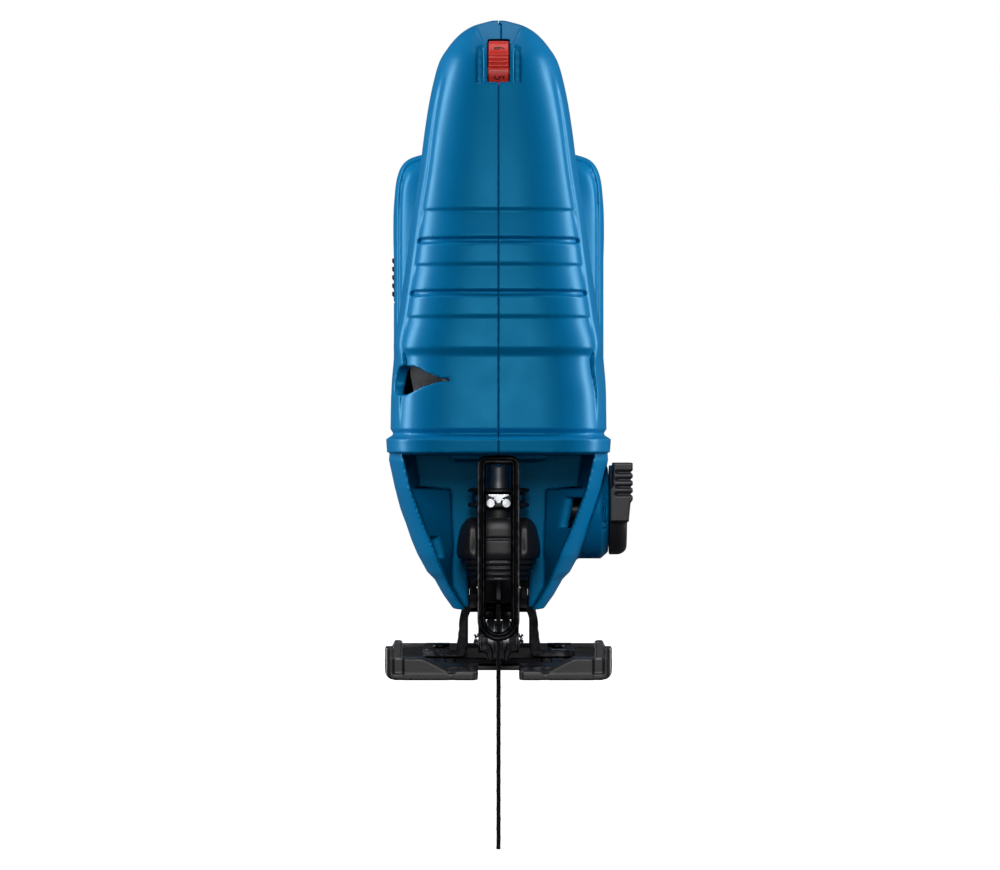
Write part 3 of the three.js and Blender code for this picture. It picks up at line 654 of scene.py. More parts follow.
def open_body(x, y, z):
    """The housing's outer form, running on through the battery end."""
    column = swept(COLUMN, 3 + 1.3 * fade(-z, -150, -90), x, y, z)
    hood = swept(HOOD, HOOD_POWER, x, y, z, sharp=True)
    handle = swept(HANDLE, HANDLE_POWER, x, z, y)
    barrel = swept(BARREL, BARREL_POWER, x, z, y)
    bracket = swept(BRACKET, BRACKET_POWER, x, z, y)
    front = blend(blend(column, handle, 7), hood, 1)
    rear = blend(blend(barrel, bracket, 5), handle, 8)
    return blend(front, rear, 4)


def cavity_field(x, y, z):
    """Open front of the hood, which narrows to a channel behind its shoulder."""
    (mouth, channel), _ = rows_at(CAVITY, z, sharp=True)
    end = CAVITY_SHOULDER + SHOULDER_DEPTH
    width = channel + (mouth - channel) * np.clip((end - y) / SHOULDER_DEPTH, 0, 1)
    slanted = (y > CAVITY_SHOULDER) & (y < end)
    sides = (np.abs(x) - width) / np.where(slanted, 1.35, 1.05)
    return both(sides, y - CAVITY_BACK, z - CAVITY_ROOF)


def front_relief(x, y, z):
    """How far the ribs and the panel line are let into the front of the column."""
    (half, front, back), _ = rows_at(COLUMN, z)
    middle = (front + back) / 2
    ahead = fade(-y, -middle - 6, -middle + 2)
    width = np.abs(x) - half
    panel = fade(-width, 3.0, 3.9)
    depth = 0 * z
    for top in LEDGES:
        below = np.clip((z - top + 9) / 9, 0, 1) * (z < top)
        edge = fade(top + 1.3 - z, 0, 1.3) * (z >= top)
        depth = depth + LEDGE_DEPTH * (below + edge)
    for groove in GROOVES:
        depth = depth + GROOVE_DEPTH * fade(bump(z, groove, 1.25), 0, 0.7)
    step = fade(-z, -STEP_TOP, -STEP_BOTTOM) * np.clip((z - 78) / 24, 0, 1)
    depth = depth + STEP_DEPTH * step
    line = LINE_DEPTH * np.exp(-(((width + 3.1) / 0.75) ** 2)) * fade(-z, -193, -183) * fade(z, 98, 104)
    neck = NECK_DEPTH * bump(z, 76.4, 1.4)
    return ahead * (depth * panel + line) + neck


def dial_pocket(x, y, z):
    """The recesses beside the dial and the sloped facet above it."""
    wide = np.abs(x)
    floor = -42.3 - (199.5 - z) * 0.223
    side = both(within(wide, 4.9, 7.0), within(z, 187.2, 200.2), y - floor)
    spread = 4.4 + np.clip(z - 199.6, 0, 10) * 0.42
    slope = (-6.8 * (y + 40.9) + 8.1 * (z - 199.5)) / 10.6
    facet = both(wide - spread, 199.4 - z, -slope)
    slot = both(wide - (DIAL_HALF + 0.4), round_hole(y, z, (DIAL_Y, DIAL_Z), DIAL_RADIUS + 0.7))
    mouth = both(wide - (DIAL_HALF + 0.4), within(z, 187.4, 200.8), y + 40)
    return either(side, facet), either(slot, mouth)


def teardrop(wide, y, z):
    """Screw recess that runs out to a point on the front of the -X side."""
    screw, level = SCREWS[0]
    widest, tip, radius = -58.5, -64.7, 4.5
    ahead = np.clip((widest - y) / (widest - tip), 0, 1)
    behind = np.sqrt(np.clip(1 - (np.maximum(y - screw, 0) / radius) ** 2, 0, 1))
    half = radius * np.where(y < widest, 1 - ahead**1.8, behind)
    return both(np.abs(z - level) - half, within(y, tip, screw + radius), TEARDROP_START - wide)


def side_window(x, y, z, side):
    """Recess in the inner side of the hood, lower on the -X side."""
    front, back, bottom, top, start = WINDOWS[side]
    return both(within(y, front, back), within(z, bottom, top), start - side * x)


def lever_boss(x, y, z):
    """Round seat of the orbital lever, on the +X side."""
    wide = np.abs(x)
    reach = BOSS_RADIUS + np.clip(BOSS_FACE - wide, 0, BOSS_CHAMFER) * 0.91
    return both(round_hole(y, z, (LEVER_Y, LEVER_Z), reach), within(wide, 20, BOSS_FACE))


def side_cuts(x, y, z, side):
    """Openings that only one half of the housing has."""
    wide = np.abs(x)
    start = BORE_START - wide
    if side > 0:
        return [both(round_hole(y, z, (LEVER_Y, LEVER_Z), SHAFT_BORE), start)]
    lock = both(round_hole(y, z, (LOCK_Y, LOCK_Z), LOCK_RADIUS + 0.4), start)
    pad = both(35.2 - wide, within(y, 122, 140), within(z, 122, 138))
    bores = [both(round_hole(y, z, centre, SCREW_HEAD_BORE), start) for centre in SCREWS]
    return [lock, pad, *bores]


def shared_cuts(x, y, z):
    """Openings of both halves, with the room for the counterweight, the vents and screw holes."""
    wide = np.abs(x)
    cuts = [
        both(wide - half, within(y, front, back), within(z, bottom, top))
        for half, front, back, bottom, top in OPENINGS
    ]
    cuts.append(both(round_hole(x, z, (0, SADDLE_Z), SADDLE_RADIUS), within(y, -14, 64)))
    room = round_hole(x, z, (0, COUNTERWEIGHT_Z), COUNTERWEIGHT_ROOM)
    cuts.append(both(room, within(y, -21.4, -15)))
    for i in range(VENTS):
        slant = y - (z - 70) * VENT_SLANT - (VENT_START + i * VENT_PITCH)
        cuts.append(both(np.abs(slant) - VENT_HALF, within(z, 56, 84), 24 - wide))
    cuts += [both(round_hole(y, z, centre, SCREW_BORE), x - 16) for centre in SCREWS]
    return cuts


def housing_field(side):
    """One half of the housing: its outer form, its hollow, and everything cut through it."""

    def field(x, y, z):
        base = open_body(x, y, z)
        wing = swept(WING, BRACKET_POWER, x, z, y)
        relief = front_relief(x, y, z) + 0.9 * bump(wing, -2.2, 0.8) * bump(y, 119, 6)
        closed = -blend(-base, BRACKET_END - y, 0.8)
        outer = blend(closed + relief, swept(RIM, HOOD_POWER, x, y, z, sharp=True), 0.4)
        if side > 0:
            outer = blend(outer, lever_boss(x, y, z), 0.7)
        cavity = cavity_field(x, y, z)
        dial_block = both(np.abs(x) - 9.5, within(z, 184, 209), y + 30)
        hollow = both(base + relief + WALL, WALL - cavity, -dial_block)
        shell = carve(outer, hollow)
        for centre in SCREWS:
            shell = either(shell, both(round_hole(y, z, centre, SCREW_POST), outer))
        pocket, slot = dial_pocket(x, y, z)
        shell = carve(carve(shell, cavity, 0.5), pocket, 0.4)
        shell = carve(shell, both(side_window(x, y, z, side), outer + WINDOW_SKIN), 0.5)
        if side < 0:
            shell = carve(shell, teardrop(np.abs(x), y, z), 0.6)
        for tool in [slot, *shared_cuts(x, y, z), *side_cuts(x, y, z, side)]:
            shell = carve(shell, tool)
        curtain = both(np.abs(x) - 15.5, within(y, -46.4, -44.4), within(z, 68.1, 70.6))
        shell = either(shell, curtain)
        if side > 0:
            tongue = -SPLIT - TONGUE * np.clip((-0.7 - outer) / 0.3, 0, 1)
            return np.maximum(shell, -tongue - x)
        tongue = -SPLIT + (TONGUE - 0.15) * np.clip((-1.0 - outer) / 0.3, 0, 1)
        return np.maximum(shell, x - tongue)

    return field


def housing_lines():
    """Grid lines, finer where the mid-plane, the front and the ribs need it."""
    coarse = 1.0
    xs = steps((-1.2, 1.2, 0.2), (1.2, 8, 0.5 * coarse), (8, 38, 0.62 * coarse))
    ys = steps((-73.5, -20, 0.62 * coarse), (-20, 108, 1.1 * coarse), (108, 149, 0.75 * coarse))
    fine, plain = 0.42 * coarse, 0.8 * coarse
    zs = steps(
        (14, 68, 0.7 * coarse), (68, 78, fine), (78, 88, plain), (88, 130.5, fine * 1.1),
        (130.5, 135.5, plain), (135.5, 149, fine * 1.1), (149, 186, plain), (186, 209.5, fine * 1.1),
    )
    return xs, ys, zs


def make_housing():
    xs, ys, zs = housing_lines()
    for name, side in (("housing_left", -1), ("housing_right", 1)):
        lines = xs if side > 0 else -xs[::-1]
        field = housing_field(side)
        shell = field_piece(name + "_shell", field, lines, ys, zs, "housing", "housing", HOUSING)
        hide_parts(name)


def make_grip():
    """Soft saddle over the handle bar, reaching further down towards the rear."""

    def field(x, y, z):
        handle = swept(HANDLE, HANDLE_POWER, x, z, y)
        low = 190 - np.clip((y - 16) / 54, 0, 1) * 5.6 - np.clip((y - 70) / 28, 0, 1) * 9.4
        reach = both(within(y, 16, 98), low - z)
        sheet = both(handle - 1.6, 0.3 - handle)
        return -blend(-sheet, -reach, 0.7)

    lines = (steps((-22, 22, 0.8)), steps((14, 100, 0.9)), steps((172, 209, 0.6)))
    grip = field_piece("grip_saddle", field, *lines, "housing", "rubber", RUBBER)
    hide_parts("handle_grip")


make_housing()
make_grip()

# ---- Dial ----

DIGIT_STEP = 60  # degrees between numbers
DIGIT_START = 47  # where the highest number stands at rest
DIGIT_SPAN = 14  # half of the smooth patch round a number
DIGIT_HEIGHT, DIGIT_SQUEEZE = 4.8, 0.66
DIAL_POINTS = 480


def dial_outline():
    """Wheel edge: a smooth patch for each number, four ridges between each pair."""
    points = []
    for i in range(DIAL_POINTS):
        degrees = i * 360 / DIAL_POINTS
        off = (degrees - DIGIT_START + DIGIT_STEP / 2) % DIGIT_STEP - DIGIT_STEP / 2
        between = (DIGIT_STEP / 2 - abs(off)) / (DIGIT_STEP / 2 - DIGIT_SPAN)
        wave = 0.5 - 0.5 * math.cos(between * 4 * math.pi) if between < 1 else 0
        radius = DIAL_RADIUS - 0.55 * wave**1.5
        angle = math.radians(degrees)
        points.append((DIAL_Y - radius * math.cos(angle), DIAL_Z + radius * math.sin(angle)))
    return points


def make_digits():
    """Numbers 1 to 6 round the wheel's edge."""
    bm = bmesh.new()
    for k in range(6):
        angle = math.radians(DIGIT_START - DIGIT_STEP * k)
        curve = bpy.data.curves.new("number", "FONT")
        curve.body = str(6 - k)
        curve.align_x, curve.align_y = "CENTER", "CENTER"
        curve.size = DIGIT_HEIGHT * MM
        curve.extrude = 0.06 * MM
        curve.offset = 0.045 * MM
        curve.resolution_u = 4
        text = new_object("number", curve)
        bpy.context.view_layer.update()
        mesh = bpy.data.meshes.new_from_object(text)
        outward = Vector((0, -math.cos(angle), math.sin(angle)))
        upright_axis = Vector((1, 0, 0))
        along = upright_axis.cross(outward)
        turn = Matrix((along * DIGIT_SQUEEZE, upright_axis, outward)).transposed().to_4x4()
        seat = Vector((0, DIAL_Y, DIAL_Z)) + outward * (DIAL_RADIUS + 0.01)
        mesh.transform(Matrix.Translation(seat * MM) @ turn)
        bm.from_mesh(mesh)
        bpy.data.objects.remove(text)
    place("dial_numbers", to_mesh(bm, "dial_numbers"), "speed_dial", INK)


def make_dial():
    bm = bmesh.new()
    add_prism(bm, "x", dial_outline(), -DIAL_HALF, DIAL_HALF)
    wheel = bm_piece("dial_wheel", bm, "speed_dial", DIAL_RED, 0.25, 2, 50)
    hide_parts("speed_dial")
    axle = [(0, -6.2), (1.5, -6.2), (1.8, -5.9), (1.8, 5.9), (1.5, 6.2), (0, 6.2)]
    lathe_piece("dial_axle", "x", axle, (DIAL_Y, DIAL_Z), "speed_dial", DIAL_RED, count=24)
    make_digits()


make_dial()

# ---- Blade, clamp and plunger ----

BLADE_TOP, BLADE_TEETH_TOP, BLADE_BOTTOM = 57.4, 22, -55.9
BLADE_BACK, BLADE_ROOT, BLADE_TIP = -30, -36.5, -38
TEETH = 26
SET = 0.16  # how far each tooth is bent aside
BLADE_HALF, TOOTH_HALF = 0.7, 0.62


def make_blade():
    """A flat strip, with teeth that are bent to alternate sides."""
    bm = bmesh.new()
    strip = [
        (BLADE_BACK - 2.4, BLADE_BOTTOM), (BLADE_ROOT, BLADE_BOTTOM), (BLADE_ROOT, BLADE_TEETH_TOP),
        (BLADE_TIP, BLADE_TEETH_TOP + 1.5), (BLADE_TIP, 25), (-36.6, 30), (-36.6, 53.4), (-37.4, 53.8),
        (-37.4, BLADE_TOP), (-30.6, BLADE_TOP), (-30.6, 53.8), (-31.4, 53.4), (-31.4, 30),
        (BLADE_BACK, 25), (BLADE_BACK, BLADE_BOTTOM + 6),
    ]
    add_prism(bm, "x", strip, -BLADE_HALF, BLADE_HALF)
    tooth_start = BLADE_ROOT + 0.5  # the teeth are sunk this far into the strip
    pitch = (BLADE_TEETH_TOP - BLADE_BOTTOM) / TEETH
    for i in range(TEETH):
        z = BLADE_BOTTOM + i * pitch
        lean = SET if i % 2 else -SET
        tooth = [
            (tooth_start, z + 0.1), (BLADE_TIP, z + 0.4),
            (BLADE_ROOT, z + pitch * 0.98), (tooth_start, z + pitch),
        ]
        low, high = [], []
        for y, h in tooth:
            bend = lean * (tooth_start - y) / (tooth_start - BLADE_TIP)
            low.append(bm.verts.new((bend - TOOTH_HALF, y, h)))
            high.append(bm.verts.new((bend + TOOTH_HALF, y, h)))
        add_skin(bm, low, high)
    blade = bm_piece("saw_blade", bm, "blade", BLADE_STEEL, 0.08, 1)
    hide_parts("blade")


def make_plunger():
    profile = [(0, 58), (3.1, 58), (3.5, 58.4), (3.5, 145.2), (2.9, 146), (0, 146)]
    rod = lathe_piece("plunger_rod", "z", profile, (0, BLADE_Y), "plunger", PLUNGER_STEEL, 0.1)
    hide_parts("plunger")


def make_clamp_body():
    profile = [
        (3.8, 46), (5.5, 46), (5.9, 46.4), (5.9, 52.2), (8.8, 53), (9.8, 53.2), (9.8, 54.3), (6.6, 54.6),
        (6.6, 57.4), (9.2, 57.7), (9.8, 57.9), (9.8, 58.6), (9.3, 59), (3.8, 59), (3.8, 46),
    ]
    spool = lathe_piece("clamp_spool", "z", profile, (0, BLADE_Y), "plunger", BLACK, 0.15)
    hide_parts("clamp_body")


def make_clamp_ring():
    """Bright ring with the two jaws and the wedge that show between the guard's bars."""
    bm = bmesh.new()
    ring = [(6.9, 54.9), (8.4, 54.8), (8.7, 55.1), (8.7, 56.9), (8.4, 57.2), (6.9, 57.2), (6.9, 54.9)]
    add_lathe(bm, "z", ring, (0, BLADE_Y), 48)
    wedge = [
        (-3.4, 57.2), (3.4, 57.2), (3.2, 56.5), (1.5, 55.9),
        (0.6, 54.2), (-0.6, 54.2), (-1.5, 55.9), (-3.2, 56.5),
    ]
    add_prism(bm, "y", wedge, -43.6, -42)
    for sign in (-1, 1):
        hook = arc(sign * 2.5, 54.3, 1.5, 200, 520, 12)
        add_prism(bm, "y", hook, -43.9, -42)
    clamp = bm_piece("clamp_jaws", bm, "plunger", CHROME, 0.3, 3)
    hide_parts("clamp_ring")


# Upright sections: [height, half-width, front, back]
CLAMP_LEVER = [
    [50.2, 9.6, -52, -27],
    [46, 12.2, -53, -26],
    [39, 13.3, -53, -26],
    [35, 11.6, -51.6, -26.6],
    [30, 9.3, -49.4, -27.4],
]
LEVER_RIBS = [30.9, 32.7, 34.5, 36.3]


def clamp_lever_field(x, y, z):
    """Hood over the blade clamp, with ribs across its lower front and a slot behind them."""
    wide = np.abs(x)
    form = swept(CLAMP_LEVER, 2.6, x, y, z)
    form = -blend(-form, 50.2 - z, 2.2)
    ahead = fade(-y, 38, 44)
    form = form + 1.3 * bump(wide, 7.2, 1.9) * ahead * fade(z, 36, 40)
    form = form + 0.7 * bump(wide, 0, 5.6) ** 0.3 * ahead * bump(z, 43.2, 0.7)
    for middle in LEVER_RIBS:
        form = form + 0.75 * bump(z, middle, 0.62) * fade(-y, 30, 34)
    return carve(form, both(wide - 6.4, within(y, -46, -20)), 0.4)


def make_clamp_lever():
    lines = (steps((-14, 14, 0.4)), steps((-54, -25, 0.45)), steps((29, 51.2, 0.36)))
    lever = field_piece("clamp_hood", clamp_lever_field, *lines, "clamp_lever", "black_plastic", BLACK)
    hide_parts("clamp_lever")


make_blade()
make_plunger()
make_clamp_body()
make_clamp_ring()
make_clamp_lever()

# ---- Guard, nozzle and guide roller ----

GUARD_Y, GUARD_MID, GUARD_TOP, GUARD_BOTTOM = -64, 5.25, 68.05, 12.75
GUARD_SECTION = [
    (-1.35, -0.9), (-0.9, -1.5), (-0.35, -1.5), (-0.2, -1.25), (0.2, -1.25), (0.35, -1.5),
    (0.9, -1.5), (1.35, -0.9), (1.35, 0.9), (0.9, 1.5), (-0.9, 1.5), (-1.35, 0.9),
]


def make_guard():
    """Flat bar bent into a closed loop; the section is (across the bar, along Y)."""
    corner = 1.2
    path = arc(0, GUARD_BOTTOM + GUARD_MID, GUARD_MID, 180, 360, 25)
    path += [(GUARD_MID, 26), (GUARD_MID, 40), (GUARD_MID, 54)]
    path += arc(GUARD_MID - corner, GUARD_TOP - corner, corner, 0, 90, 5)
    path += arc(-GUARD_MID + corner, GUARD_TOP - corner, corner, 90, 180, 5)
    path += [(-GUARD_MID, 54), (-GUARD_MID, 40), (-GUARD_MID, 26)]
    bm = bmesh.new()
    rings = []
    for i, (x, z) in enumerate(path):
        ahead, behind = path[(i + 1) % len(path)], path[i - 1]
        tangent = Vector((ahead[0] - behind[0], ahead[1] - behind[1])).normalized()
        normal = Vector((tangent.y, -tangent.x))
        rings.append([
            bm.verts.new((x + normal.x * u, GUARD_Y + v, z + normal.y * u)) for u, v in GUARD_SECTION
        ])
    for i, ring in enumerate(rings):
        bridge(bm, ring, rings[(i + 1) % len(rings)])
    guard = bm_piece("guard_bar", bm, "housing", COATED)
    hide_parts("finger_guard")


def make_nozzle():
    profile = [(1.1, -58), (1.6, -58), (1.8, -57.7), (1.8, -46.2), (1.1, -46.2), (1.1, -58)]
    nozzle = lathe_piece("blower_tip", "y", profile, (0, 67.6), "housing", HOUSING, 0.1, 32)
    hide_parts("blower_nozzle")


FINGER = [
    (5.9, 11.6), (3.4, 11.6), (2.4, 9.4), (1.9, 6.4), (1.5, 4.2),
    (2.1, 3.2), (3.1, 3.6), (3.9, 6), (5.9, 7),
]


def make_fork():
    """Holder of the guide roller: two cheeks, and two curved fingers beside the blade."""
    pivot_y, pivot_z = -17.5, 32
    bm = bmesh.new()
    side = arc(pivot_y, pivot_z, 4, 180, 0, 9)
    side += [(pivot_y + 4, pivot_z - 8), (-16.4, 12)] + arc(-18.9, 8.7, 2.5, 0, -90, 5)
    side += arc(-25.9, 8.3, 2.1, -90, -180, 5) + [(-28, 11), (-26, 16), (pivot_y - 3.2, 22)]
    add_prism(bm, "x", side, -6.5, 6.5)
    fork = bm_piece("roller_holder", bm, "roller_fork", COATED, 0.35, 3)
    gap, pin, pivot = bmesh.new(), bmesh.new(), bmesh.new()
    add_box(gap, -4.3, 4.3, -40, -14.2, 0, 20.4)
    add_prism(pin, "x", arc(ROLLER_Y, ROLLER_Z, 2.2, 0, 345, 24), -10, 10)
    add_prism(pivot, "x", arc(pivot_y, pivot_z, 2.3, 0, 345, 24), -10, 10)
    cut_holes(fork, [gap, pin, pivot])
    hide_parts("roller_fork")
    bm = bmesh.new()
    for sign in (-1, 1):
        outline = [(sign * x, z) for x, z in FINGER]
        add_prism(bm, "y", outline if sign > 0 else outline[::-1], -29.6, -27.6)
    bm_piece("holder_fingers", bm, "roller_fork", COATED, 0.4, 3)


def make_roller():
    centre = (ROLLER_Y, ROLLER_Z)
    profile = [
        (2.3, -3.9), (5.9, -3.9), (6.5, -3.4), (6.5, -1.4), (6.0, -1.1), (6.0, 1.1),
        (6.5, 1.4), (6.5, 3.4), (5.9, 3.9), (2.3, 3.9), (2.3, -3.9),
    ]
    roller = lathe_piece("grooved_roller", "x", profile, centre, "guide_roller", STEEL, 0.1, 64)
    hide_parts("guide_roller")
    pin = [
        (0, -8), (1.3, -8), (1.6, -7.7), (1.6, -7.2), (1.15, -7.1), (1.15, -6.9), (1.9, -6.8),
        (1.9, 6.8), (1.15, 6.9), (1.15, 7.1), (1.6, 7.2), (1.6, 7.7), (1.3, 8), (0, 8),
    ]
    axle = lathe_piece("roller_axle", "x", pin, centre, "roller_fork", CHROME, 0, 32)
    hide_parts("roller_pin")


make_guard()
make_nozzle()
make_fork()
make_roller()

# ---- Shoe ----

SHOE_HALF, SHOE_FRONT, SHOE_BACK = 35.3, -80, 80


def slot_half_width(y):
    """Half-width of the blade slot: a narrow mouth and a wide window behind it."""
    stations = [-90, -76.8, -52, -44, -15, -12, -11.9]
    return np.interp(y, stations, [9.6, 6.4, 6.4, 17, 17, 14, -8])


def shoe_field(x, y, z):
    """Sliding sole with a ramped front lip, side walls, corner posts, hooks and a heel."""
    wide = np.abs(x)
    lip_height = np.interp(wide, [0, 14.6, 23.4, 30], [2.7, 2.7, 7.1, 7.1])
    slope = np.where((wide > 14.6) & (wide < 23.4), 1.12, 1.0)
    lip = both((z - lip_height) / slope, within(y, SHOE_FRONT, -75), -z, wide - 33)
    pad_edge = both((z - lip_height + 0.7) / slope, within(wide, 15.4, 29.4))
    lip = lip + 0.45 * fade(pad_edge, -0.1, 0.25) * fade(-y, 78.6, 79.4) * fade(wide, 13, 14.5)
    length = within(y, SHOE_FRONT, SHOE_BACK)
    sole = both(within(z, 0, 1.6), wide - SHOE_HALF, length)
    walls = both(within(wide, 33.1, SHOE_HALF), within(z, 0, 6.4), length)
    posts = both(within(wide, 32.7, SHOE_HALF), within(y, SHOE_FRONT, -64), within(z, 0, 9.9))
    hooks = both(within(wide, 29.9, 32.7), within(y, SHOE_FRONT + 0.6, -75), within(z, 0, 12),
                 (wide + z - 43.4) / 1.41)
    heel = both(wide - 34.3, within(y, 77.6, SHOE_BACK), within(z, 0, 5.4))
    form = blend(blend(sole, walls, 0.8), lip, 0.8)
    form = either(blend(form, posts, 0.5), hooks)
    form = blend(form, heel, 0.5)
    corner = np.hypot(np.maximum(wide - 32.3, 0), np.maximum(3 - z, 0)) - 3
    plan = np.hypot(np.maximum(wide - 33.3, 0), np.maximum(np.abs(y) - 78, 0)) - 2
    form = -blend(-form, -np.where((wide > 32.3) & (z < 3), corner, -5), 0.3)
    form = -blend(-form, -plan, 0.3)
    slot = wide - slot_half_width(y)
    flutes = both(34.9 - wide, within(y % 5, 2, 3), within(z, 2.6, 5.4), within(y, -58, 74))
    form = carve(form, flutes, 0.2)
    return carve(form, slot, 0.5)


def make_shoe():
    side = steps((-36, -28, 0.36), (-28, 28, 0.5), (28, 36, 0.36))
    along = steps((-81, -74, 0.32), (-74, -50, 0.8), (-50, -40, 0.6), (-40, 76, 0.9), (76, 81, 0.4))
    up = steps((-0.6, 12.8, 0.34))
    lines = (side, along, up)
    shoe = field_piece("shoe_cover", shoe_field, *lines, "shoe", "shoe_plastic", SHOE_BLACK, reach=0.18)
    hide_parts("glide_shoe")


# Stiffening beads of the arch: [inner, outer, front, back, bottom, top]
BEADS = [
    [12.5, 13.1, -9.5, 38.5, 6.2, 12],
    [16, 24.2, -10.6, -8.2, 6.3, 7],
    [16, 24.2, 37.2, 39.6, 6.3, 7],
]


def make_bracket():
    """Pressed arch between the shoe and the gearcase, with stiffening beads and its flanges."""
    low, high = 4.3, 6.5
    outline = [(24.6, low), (24.6, high), (13.9, high)] + arc(0, SADDLE_Z, 12.8, -8, 188, 41)
    outline += [(-13.9, high), (-24.6, high), (-24.6, low), (-11.4, low), (-10.1, low + 2)]
    outline += arc(0, SADDLE_Z, 10.1, 180, 0, 41) + [(10.1, low + 2), (11.4, low)]
    bm = bmesh.new()
    add_prism(bm, "y", outline, -11, 40)
    arch = bm_piece("tilt_arch", bm, "shoe", COATED, 0.4, 3, 40)
    slot = bmesh.new()
    add_box(slot, -13, 13, 11.2, 18.8, 17.8, 30)
    cut_holes(arch, [slot])
    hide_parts("bevel_bracket")
    bm = bmesh.new()
    for box in BEADS:
        add_box_pair(bm, *box)
    bm_piece("arch_beads", bm, "shoe", COATED, 0.35, 3)


def make_bracket_screws():
    """Domed screws that hold the arch to the shoe."""
    for name, x in (("bracket_screw_left", -19), ("bracket_screw_right", 19)):
        profile = [(0, 4.3), (1.7, 4.3), (1.7, 6.8), (3, 6.8), (3, 7.2)]
        profile += [(3 * math.cos(a), 7.2 + 1.1 * math.sin(a)) for a in np.linspace(0.2, 1.1, 6)]
        profile += [(1.1, 8.25), (1.0, 7.3), (0, 7.1)]
        screw = lathe_piece(name + "_head", "z", profile, (x, 6), "shoe", SCREW, 0, 32)
        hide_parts(name)


make_shoe()
make_bracket()
make_bracket_screws()

# ---- Controls ----

LEVER_RIDGES = (57.2, 59.5, 61.8, 64.1)


def knob_field(x, y, z):
    """Orbital lever: a domed disc behind a finger block with a ridged top."""
    around = round_hole(y, z, (LEVER_Y, LEVER_Z), 0)
    disc = both(around - LEVER_RADIUS, within(x, LEVER_INNER, 40.8))
    disc = -blend(-disc, 17.4 - (around + (x - LEVER_INNER) * 0.85), 1.0)
    face = np.interp(z, [48, 54.4, 55.4, 68], [41.2, 41.8, LEVER_OUTER, LEVER_OUTER])
    foot = np.interp(z, [58.6, 60], [LEVER_INNER, 36.3])
    block = both(within(y, -46, -24), within(z, 48.5, 67.1), x - face, foot - x)
    form = blend(disc, block, 0.7)
    for middle in LEVER_RIDGES:
        form = form + 0.75 * bump(z, middle, 0.62) * fade(x, 36.4, 38)
    return form


def make_knob():
    lines = (steps((34.6, 43.1, 0.3)), steps((-47, -15, 0.45)), steps((37, 68, 0.36)))
    knob = field_piece("orbital_knob", knob_field, *lines, "orbital_lever", "black_plastic", BLACK)
    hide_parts("orbital_lever")
    shaft, centre = [(0, 21), (3, 21), (3, 35.6), (0, 35.6)], (LEVER_Y, LEVER_Z)
    lathe_piece("orbital_shaft", "x", shaft, centre, "orbital_lever", BLACK, 0.2, 32)


# Lower edge of the trigger: [y, height]
TRIGGER_FLOOR = [
    [10.6, 166], [12.2, 160.6], [14.6, 158.8], [18, 158], [22, 158], [26, 158.6],
    [31, 160], [36, 161.8], [40.4, 164], [44, 166.6], [46, 170],
]


def trigger_field(x, y, z):
    """Finger paddle with a hollowed face and rounded corners."""
    stations, heights = zip(*TRIGGER_FLOOR)
    floor = np.interp(y, stations, heights)
    ceiling = np.interp(y, [11, 44, 46], [172, 173, 170])
    hollow = 0.9 * np.clip(1 - (x / 6) ** 2, 0, 1) * bump(y, 24, 13)
    form = both((floor + hollow - z) / 1.15, z - ceiling, within(y, 10.6, 46), np.abs(x) - 8)
    corner = np.hypot(np.maximum(np.abs(x) - 6, 0), np.maximum(floor - z + 2, 0)) - 2
    return both(form, corner)


def make_trigger():
    lines = (steps((-8.6, 8.6, 0.4)), steps((9.8, 46.8, 0.5)), steps((157, 174, 0.4)))
    paddle = field_piece("trigger_paddle", trigger_field, *lines, "trigger", "black_plastic", BLACK)
    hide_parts("trigger")


def make_lock():
    centre = (LOCK_Y, LOCK_Z)
    profile = [
        (0, -20.0), (1.5, -20.05), (2.8, -20.35), (3.5, -20.4), (4.1, -20.2),
        (4.5, -19.6), (4.5, -14), (2.4, -14), (2.4, -3), (0, -3),
    ]
    button = lathe_piece("lock_stud", "x", profile, centre, "lock_button", BLACK, 0.1, 48)
    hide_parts("lock_button")


def make_housing_screws():
    """Domed heads with a round socket, looking out of the -X side."""
    profile = [
        (0, -12.2), (1.5, -12.2), (1.6, -13.5), (2.6, -13.9), (3, -13.2), (3.3, -12.9),
        (3.3, -10.4), (1.8, -10.4), (1.8, 15), (0.8, 15.6), (0, 15.6),
    ]
    for i, centre in enumerate(SCREWS):
        name = f"case_screw_{i + 1}"
        screw = lathe_piece(name, "x", profile, centre, "housing", SCREW, 0, 24)
        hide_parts(f"housing_screw_{i + 1}")


def make_nose_seal():
    """Strips that close the line of sight past both sides of the gearcase nose."""
    bm = bmesh.new()
    add_box_pair(bm, 9.4, 11.6, -16.2, -14.5, 21, 38)
    bm_piece("nose_seal", bm, "housing", RUBBER)


def make_side_pad():
    bm = bmesh.new()
    add_box(bm, -36.4, -35.5, 122.3, 139.7, 122.3, 137.7)
    for i in range(5):
        z = 124.2 + i * 2.9
        add_box(bm, -37, -36.2, 123, 139, z, z + 1.4)
    pad = bm_piece("ribbed_pad", bm, "housing", RUBBER, 0.25, 3)
    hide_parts("side_pad")


make_knob()
make_trigger()
make_lock()
make_housing_screws()
make_nose_seal()
make_side_pad()

# ---- Finishes of the pieces that keep their shape ----

